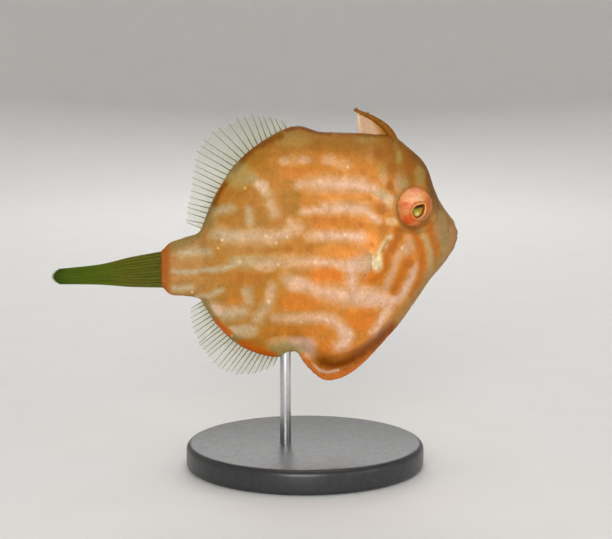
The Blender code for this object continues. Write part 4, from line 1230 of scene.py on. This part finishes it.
def pectoral_fin(side, sign, webs, lines):
    """A small clear fan behind the gill slit."""
    x, z = PECTORAL_ROOT
    flank = flank_at(x, z)
    splay = math.radians(PECTORAL_SPLAY)
    outward = Vector((-math.cos(splay), sign * math.sin(splay), 0))
    facing = Vector((math.sin(splay), sign * math.cos(splay), 0))

    def place(share, t):
        angle = math.radians(between(PECTORAL_FAN, share))
        direction = outward * math.cos(angle) + Vector((0, 0, math.sin(angle)))
        length = PECTORAL_LENGTH * (0.78 + 0.22 * math.sin(math.pi * (0.15 + 0.75 * share)))
        base = Vector((x, sign * flank, z + PECTORAL_ROOT_SPAN * (0.5 - share)))
        start = base - direction * PECTORAL_SUNK
        cup = PECTORAL_CUP * t * t * math.sin(math.pi * share)
        return start + direction * (length + PECTORAL_SUNK) * t + facing * cup

    columns = (PECTORAL_RAYS - 1) * WEB_STEPS + 1
    reaches = [r / (PECTORAL_ROWS - 1) for r in range(PECTORAL_ROWS)]
    sheet = [place(c / (columns - 1), web_reach(c) * t) for c in range(columns) for t in reaches]
    tubes = []
    for i in range(PECTORAL_RAYS):
        share = i / (PECTORAL_RAYS - 1)
        tubes.append(fin_ray(lambda t: place(share, t), 0, PECTORAL_RAY_RADIUS, PECTORAL_RAY_POINTS))
    shares = reaches * columns
    clear_fin(f"pectoral_{side}", f"pectoral_fin_{side}", sheet, columns, shares, tubes, webs, lines)


def flank_at(x, z):
    """Distance of the smooth flank from the middle plane."""
    stations = np.linspace(*PECTORAL_STATIONS, FLANK_SAMPLES)
    levels = np.linspace(-0.9, 0.9, FLANK_SAMPLES)
    flank = left_flank(stations, levels).reshape(-1, 3)
    near = np.argmin(np.hypot(flank[:, 0] - x, flank[:, 2] - z))
    return float(flank[near, 1])


def spine_barb(t, edge):
    """A small thorn of the spine, at a place along it and on its front or rear edge."""
    point = curve(SPINE_PATH, t)[0]
    along = curve(SPINE_PATH, t + 0.05)[0] - curve(SPINE_PATH, t - 0.05)[0]
    along /= np.linalg.norm(along)
    out = np.array((along[1], -along[0])) * edge
    radius = float(curve(SPINE_RADII, t)[0, 0])
    start = point + out * radius * 0.3
    end = point + out * (radius + BARB_LENGTH * 0.45) + along * BARB_LENGTH * 0.8
    line = [start + (end - start) * k / 4 for k in range(5)]
    return [(p[0], 0, p[1]) for p in line], [0.26 - 0.045 * k for k in range(5)]


def dorsal_spine(shaft_material, sail_material):
    path = curve(SPINE_PATH, np.linspace(0, len(SPINE_PATH) - 1, SPINE_RINGS))
    radii = curve(SPINE_RADII, np.linspace(0, len(SPINE_RADII) - 1, SPINE_RINGS))[:, 0]
    knobs = [1 + 0.05 * noise.noise(Vector((k * 0.9, 2.0, 0.0))) for k in range(SPINE_RINGS)]
    tubes = [([(p[0], 0, p[1]) for p in path], [r * k for r, k in zip(radii, knobs)])]
    tubes += [spine_barb(t, edge) for t, edge in SPINE_BARBS]
    shaft = tube_piece("dorsal_spine_shaft", tubes, shaft_material, sides=20)
    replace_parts(shaft, "dorsal_spine")
    front = curve(SPINE_PATH, np.linspace(*SAIL_ALONG_SPINE, SAIL_ROWS))
    rear = curve(SPINE_WEB_REAR, np.linspace(0, 2, SAIL_ROWS))
    sheet = []
    for c in range(SAIL_COLUMNS):
        s = c / (SAIL_COLUMNS - 1)
        for r in range(SAIL_ROWS):
            x, z = front[r] * (1 - s) + rear[r] * s
            sheet.append((x, 0.16 * math.sin(s * 9 + r * 0.12) * s * (1 - 0.4 * s), z))
    sail = thin_sheet("dorsal_spine_sail", sheet, SAIL_COLUMNS, SAIL_HALF, sail_material)
    px, py = in_photo(np.array(sheet))
    coat = Coat(SAIL_PINK, px, py)
    (shade_x, shade_y), slope, width = SAIL_SHADE
    coat.paint(fade(px - slope * (py - shade_y), shade_x, width), SAIL_BROWN)
    coat.paint(0.5 - 0.5 * fade(np.abs(px - SAIL_EDGE_X), 0, 5), SAIL_EDGE)
    mottle = [1 + 0.06 * noise.noise(Vector((x * 3, 0, z * 3))) for x, _, z in sheet]
    colours = coat.colours * np.array(mottle)[:, None]
    add_colour(sail, np.concatenate((colours, colours)))


# Stand

def add_stand(base_material, rod_material):
    base = ("display_base", "base", 0.0, BASE_RADIUS, 0.0, BASE_HEIGHT, BASE_EDGE_ROUND, BASE_SIDES)
    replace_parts(turned(*base, base_material), "stand_base")
    rod = ("display_rod", "rod", ROD_X, ROD_RADIUS, ROD_FOOT, ROD_TOP, ROD_EDGE_ROUND, ROD_SIDES)
    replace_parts(turned(*rod, rod_material), "stand_rod")


def turned(name, slot, x, radius, low, high, rounding, sides, material):
    """A round upright piece with rounded edges, in millimetres of the solids' frame."""
    made = bmesh.new()
    size = radius * MM
    depth = (high - low) * MM
    bmesh.ops.create_cone(made, cap_ends=True, segments=sides, radius1=size, radius2=size, depth=depth)
    rims = [e for e in made.edges if abs(e.verts[0].co.z - e.verts[1].co.z) < 1e-6]
    bmesh.ops.bevel(made, geom=rims, offset=rounding * MM, segments=EDGE_STEPS, profile=0.5, affect="EDGES")
    mesh = bpy.data.meshes.new(name)
    made.to_mesh(mesh)
    made.free()
    mesh.transform(Matrix.Translation((x * MM, 0, (low + high) / 2 * MM)))
    mesh.shade_smooth()
    mesh.set_sharp_from_angle(angle=math.radians(SHARP_FROM))
    mesh.materials.append(material)
    piece = bpy.data.objects.new(name, mesh)
    bpy.context.scene.collection.objects.link(piece)
    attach(piece, "root")
    return piece


# Materials

def put(node, settings):
    for socket, value in settings.items():
        node.inputs[socket].default_value = value


class Finish:
    """A material, and the few kinds of node that the finishes here are made of."""

    def __init__(self, name, settings):
        self.material = bpy.data.materials.new(name)
        self.material.use_nodes = True
        self.tree = self.material.node_tree
        self.shader = self.tree.nodes["Principled BSDF"]
        put(self.shader, settings)

    def node(self, kind, settings, **sources):
        """A node with its constant inputs, and the outputs that lead into its other inputs."""
        made = self.tree.nodes.new("ShaderNode" + kind)
        put(made, settings)
        for socket, source in sources.items():
            self.tree.links.new(source, made.inputs[socket])
        return made

    def feed(self, socket, source):
        self.tree.links.new(source, self.shader.inputs[socket])

    def place(self):
        return self.node("TexCoord", {}).outputs["Object"]

    def grain(self, scale, detail=3.0):
        settings = {"Scale": scale, "Detail": detail, "Roughness": 0.6}
        return self.node("TexNoise", settings, Vector=self.place()).outputs["Fac"]

    def markings(self):
        made = self.node("VertexColor", {})
        made.layer_name = "markings"
        return made.outputs["Color"]

    def ramp(self, source, *stops):
        """Stops, each a place along the scale and its colour or grey value."""
        made = self.node("ValToRGB", {}, Fac=source)
        elements = made.color_ramp.elements
        for position, _ in stops[1:-1]:
            elements.new(position)
        elements[0].position = stops[0][0]
        elements[-1].position = stops[-1][0]
        for element, (_, colour) in zip(elements, stops):
            element.color = (*np.broadcast_to(colour, 3), 1)
        return made.outputs["Color"]

    def tone(self, grain, dark, light, socket="Base Color", low=0.3, high=0.7):
        self.feed(socket, self.ramp(grain, (low, dark), (high, light)))

    def multiplied(self, first, second, share):
        """The first colour, multiplied with the second by the given share."""
        made = self.node("Mix", {"Factor": share})
        made.data_type = "RGBA"
        made.blend_type = "MULTIPLY"
        for source, socket in zip((first, second), [s for s in made.inputs if s.type == "RGBA"]):
            self.tree.links.new(source, socket)
        return next(s for s in made.outputs if s.type == "RGBA")

    def mottled(self, grain, dark, light, share):
        """The markings with a fine mottle over them."""
        return self.multiplied(self.markings(), self.ramp(grain, (0.3, dark), (0.7, light)), share)

    def bumps(self, *heights):
        """Chained bumps, each a height, a distance in metres and a strength."""
        last = None
        for height, distance, strength in heights:
            made = self.node("Bump", {"Distance": distance, "Strength": strength}, Height=height)
            if last:
                self.tree.links.new(last, made.inputs["Normal"])
            last = made.outputs["Normal"]
        self.feed("Normal", last)


def skin_material(name, roughness=0.46, speckled=True, coat=0.02):
    skin = Finish(name, {
        "Specular IOR Level": 0.16,
        "Coat Weight": coat,
        "Coat Roughness": 0.25,
        "Subsurface Weight": 0.12,
        "Subsurface Radius": (1.0, 0.45, 0.2),
        "Subsurface Scale": 0.0008,
    })
    grain = skin.grain(2600)
    colour = skin.mottled(grain, (0.84, 0.82, 0.78), (1.12, 1.1, 1.08), 0.6)
    if speckled:
        cells = skin.node("TexVoronoi", {"Scale": 780, "Randomness": 0.8}, Vector=skin.place())
        dots = skin.ramp(cells.outputs["Distance"], (0.12, (0.70, 0.60, 0.50)), (0.26, 1.0))
        colour = skin.multiplied(colour, dots, 0.18)
    skin.feed("Base Color", colour)
    skin.tone(grain, roughness + 0.12, roughness - 0.1, "Roughness", 0.35, 0.65)
    skin.bumps((grain, 0.00012, 0.55), (skin.grain(5200, 2), 0.00006, 0.5))
    return skin.material


def eyeball_material():
    wet = Finish("wet_eye", {
        "Roughness": 0.3,
        "Specular IOR Level": 0.12,
        "Coat Weight": 0.05,
        "Coat Roughness": 0.05,
    })
    wet.feed("Base Color", wet.mottled(wet.grain(3000, 2), 0.85, 1.1, 0.5))
    return wet.material


def web_material(name, dark, light, strengths):
    """A clear membrane, denser towards its root."""
    web = Finish(name, {"Roughness": 0.3})
    grain = web.grain(1500)
    web.tone(grain, linear(dark), linear(light))
    reach = web.node("Attribute", {})
    reach.attribute_name = "reach"
    web.feed("Alpha", web.ramp(reach.outputs["Fac"], *zip((0.0, 0.4, 1.0), strengths)))
    web.bumps((grain, 0.00005, 0.4))
    return web.material


def ray_material(name, dark, light):
    ray = Finish(name, {"Roughness": 0.4})
    grain = ray.grain(1800, 2)
    ray.tone(grain, linear(dark), linear(light), low=0.35, high=0.65)
    ray.bumps((grain, 0.00004, 0.5))
    return ray.material


def tail_material():
    tail = Finish("tail_fin", {
        "Roughness": 0.5,
        "Specular IOR Level": 0.12,
        "Subsurface Weight": 0.2,
        "Subsurface Radius": (0.6, 1.0, 0.2),
        "Subsurface Scale": 0.0006,
    })
    grain = tail.grain(2200)
    tail.feed("Base Color", tail.mottled(grain, (0.82, 0.82, 0.78), (1.12, 1.12, 1.05), 0.7))
    tail.bumps((grain, 0.00008, 0.6))
    return tail.material


def shaft_material():
    shaft = Finish("spine_shaft", {"Roughness": 0.5, "Specular IOR Level": 0.15})
    grain = shaft.grain(1400, 4)
    shaft.tone(grain, linear(SHAFT_DARK), linear(SHAFT_LIGHT))
    shaft.bumps((grain, 0.00015, 0.6))
    return shaft.material


def base_material():
    base = Finish("stand_black", {})
    grain = base.grain(900, 4)
    base.tone(grain, (0.018, 0.018, 0.020), (0.032, 0.032, 0.034))
    base.tone(grain, 0.38, 0.30, "Roughness")
    base.bumps((grain, 0.00003, 0.3))
    return base.material


def rod_material():
    """Steel, with a grain drawn out along the rod."""
    rod = Finish("stand_steel", {"Metallic": 1.0})
    drawn_out = rod.node("Mapping", {"Scale": (1, 1, 0.05)}, Vector=rod.place()).outputs["Vector"]
    grain = rod.node("TexNoise", {"Scale": 6000}, Vector=drawn_out).outputs["Fac"]
    rod.tone(grain, (0.50, 0.50, 0.51), (0.64, 0.64, 0.65))
    rod.tone(grain, 0.34, 0.24, "Roughness")
    rod.bumps((grain, 0.00002, 0.4))
    return rod.material


# Studio

def add_studio():
    paper = Finish("studio_paper", {"Roughness": 0.8})
    paper.tone(paper.grain(60), PAPER_DARK, PAPER_LIGHT)
    # A round floor that sweeps up into a wall on all sides
    profile = [(FLOOR_FLAT, 0.0)]
    for k in range(1, FLOOR_BEND_STEPS + 1):
        angle = math.pi / 2 * k / FLOOR_BEND_STEPS
        profile.append((FLOOR_FLAT + FLOOR_BEND * math.sin(angle), FLOOR_BEND * (1 - math.cos(angle))))
    profile.append((FLOOR_FLAT + FLOOR_BEND, WALL_TOP))
    turns = [2 * math.pi * k / FLOOR_SIDES for k in range(FLOOR_SIDES)]
    points = [(r * math.cos(a), r * math.sin(a), z) for r, z in profile for a in turns]
    faces = grid_faces(len(profile), FLOOR_SIDES, closed=True)
    faces.append(tuple(range(FLOOR_SIDES))[::-1])
    mesh = bpy.data.meshes.new("studio_floor")
    mesh.from_pydata(points, [], faces)
    mesh.shade_smooth()
    mesh.materials.append(paper.material)
    floor = bpy.data.objects.new("studio_floor", mesh)
    bpy.context.scene.collection.objects.link(floor)
    for name, place, size, power in LIGHTS:
        add_light(name, place, size, power)
    world = bpy.data.worlds.new("studio")
    world.use_nodes = True
    background = world.node_tree.nodes["Background"]
    background.inputs["Color"].default_value = (*SKY, 1)
    background.inputs["Strength"].default_value = SKY_STRENGTH
    bpy.context.scene.world = world
    bpy.context.scene.view_settings.view_transform = "Standard"


def add_light(name, place, size, power):
    data = bpy.data.lights.new(name, "AREA")
    data.size = size
    data.energy = power
    light = bpy.data.objects.new(name, data)
    light.location = place
    aim = Vector(LIGHTS_AIM) - Vector(place)
    light.rotation_euler = aim.to_track_quat("-Z", "Y").to_euler()
    light.visible_camera = False
    bpy.context.scene.collection.objects.link(light)


def main():
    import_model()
    add_camera()
    add_skin(skin_material("fish_skin"))
    turret_finish = skin_material("eye_skin", 0.34, speckled=False, coat=0.35)
    wet = eyeball_material()
    webs = web_material("fin_membrane", WEB_DARK, WEB_LIGHT, (0.26, 0.12, 0.08))
    clear = web_material("pectoral_membrane", PECTORAL_DARK, PECTORAL_LIGHT, (0.10, 0.07, 0.05))
    lines = ray_material("fin_ray", RAY_DARK, RAY_LIGHT)
    light_lines = ray_material("pectoral_ray", PECTORAL_RAY_DARK, PECTORAL_RAY_LIGHT)
    for side, sign in (("right", -1), ("left", 1)):
        eye_turret(side, sign, turret_finish)
        eyeball(side, sign, wet)
        pectoral_fin(side, sign, clear, light_lines)
    dorsal = edge_rays(TOPS, DORSAL_BASE, DORSAL_RAYS, DORSAL_HEIGHTS, DORSAL_LEANS, 1)
    soft_fin("soft_dorsal", "soft_dorsal_fin", dorsal, DORSAL_WAVE, webs, lines)
    anal = edge_rays(BOTTOMS, ANAL_BASE, ANAL_RAYS, ANAL_HEIGHTS, ANAL_LEANS, -1)
    soft_fin("anal", "anal_fin", anal, ANAL_WAVE, webs, lines)
    caudal_fin(tail_material())
    dorsal_spine(shaft_material(), skin_material("spine_sail", 0.45, speckled=False))
    add_stand(base_material(), rod_material())
    add_studio()


main()
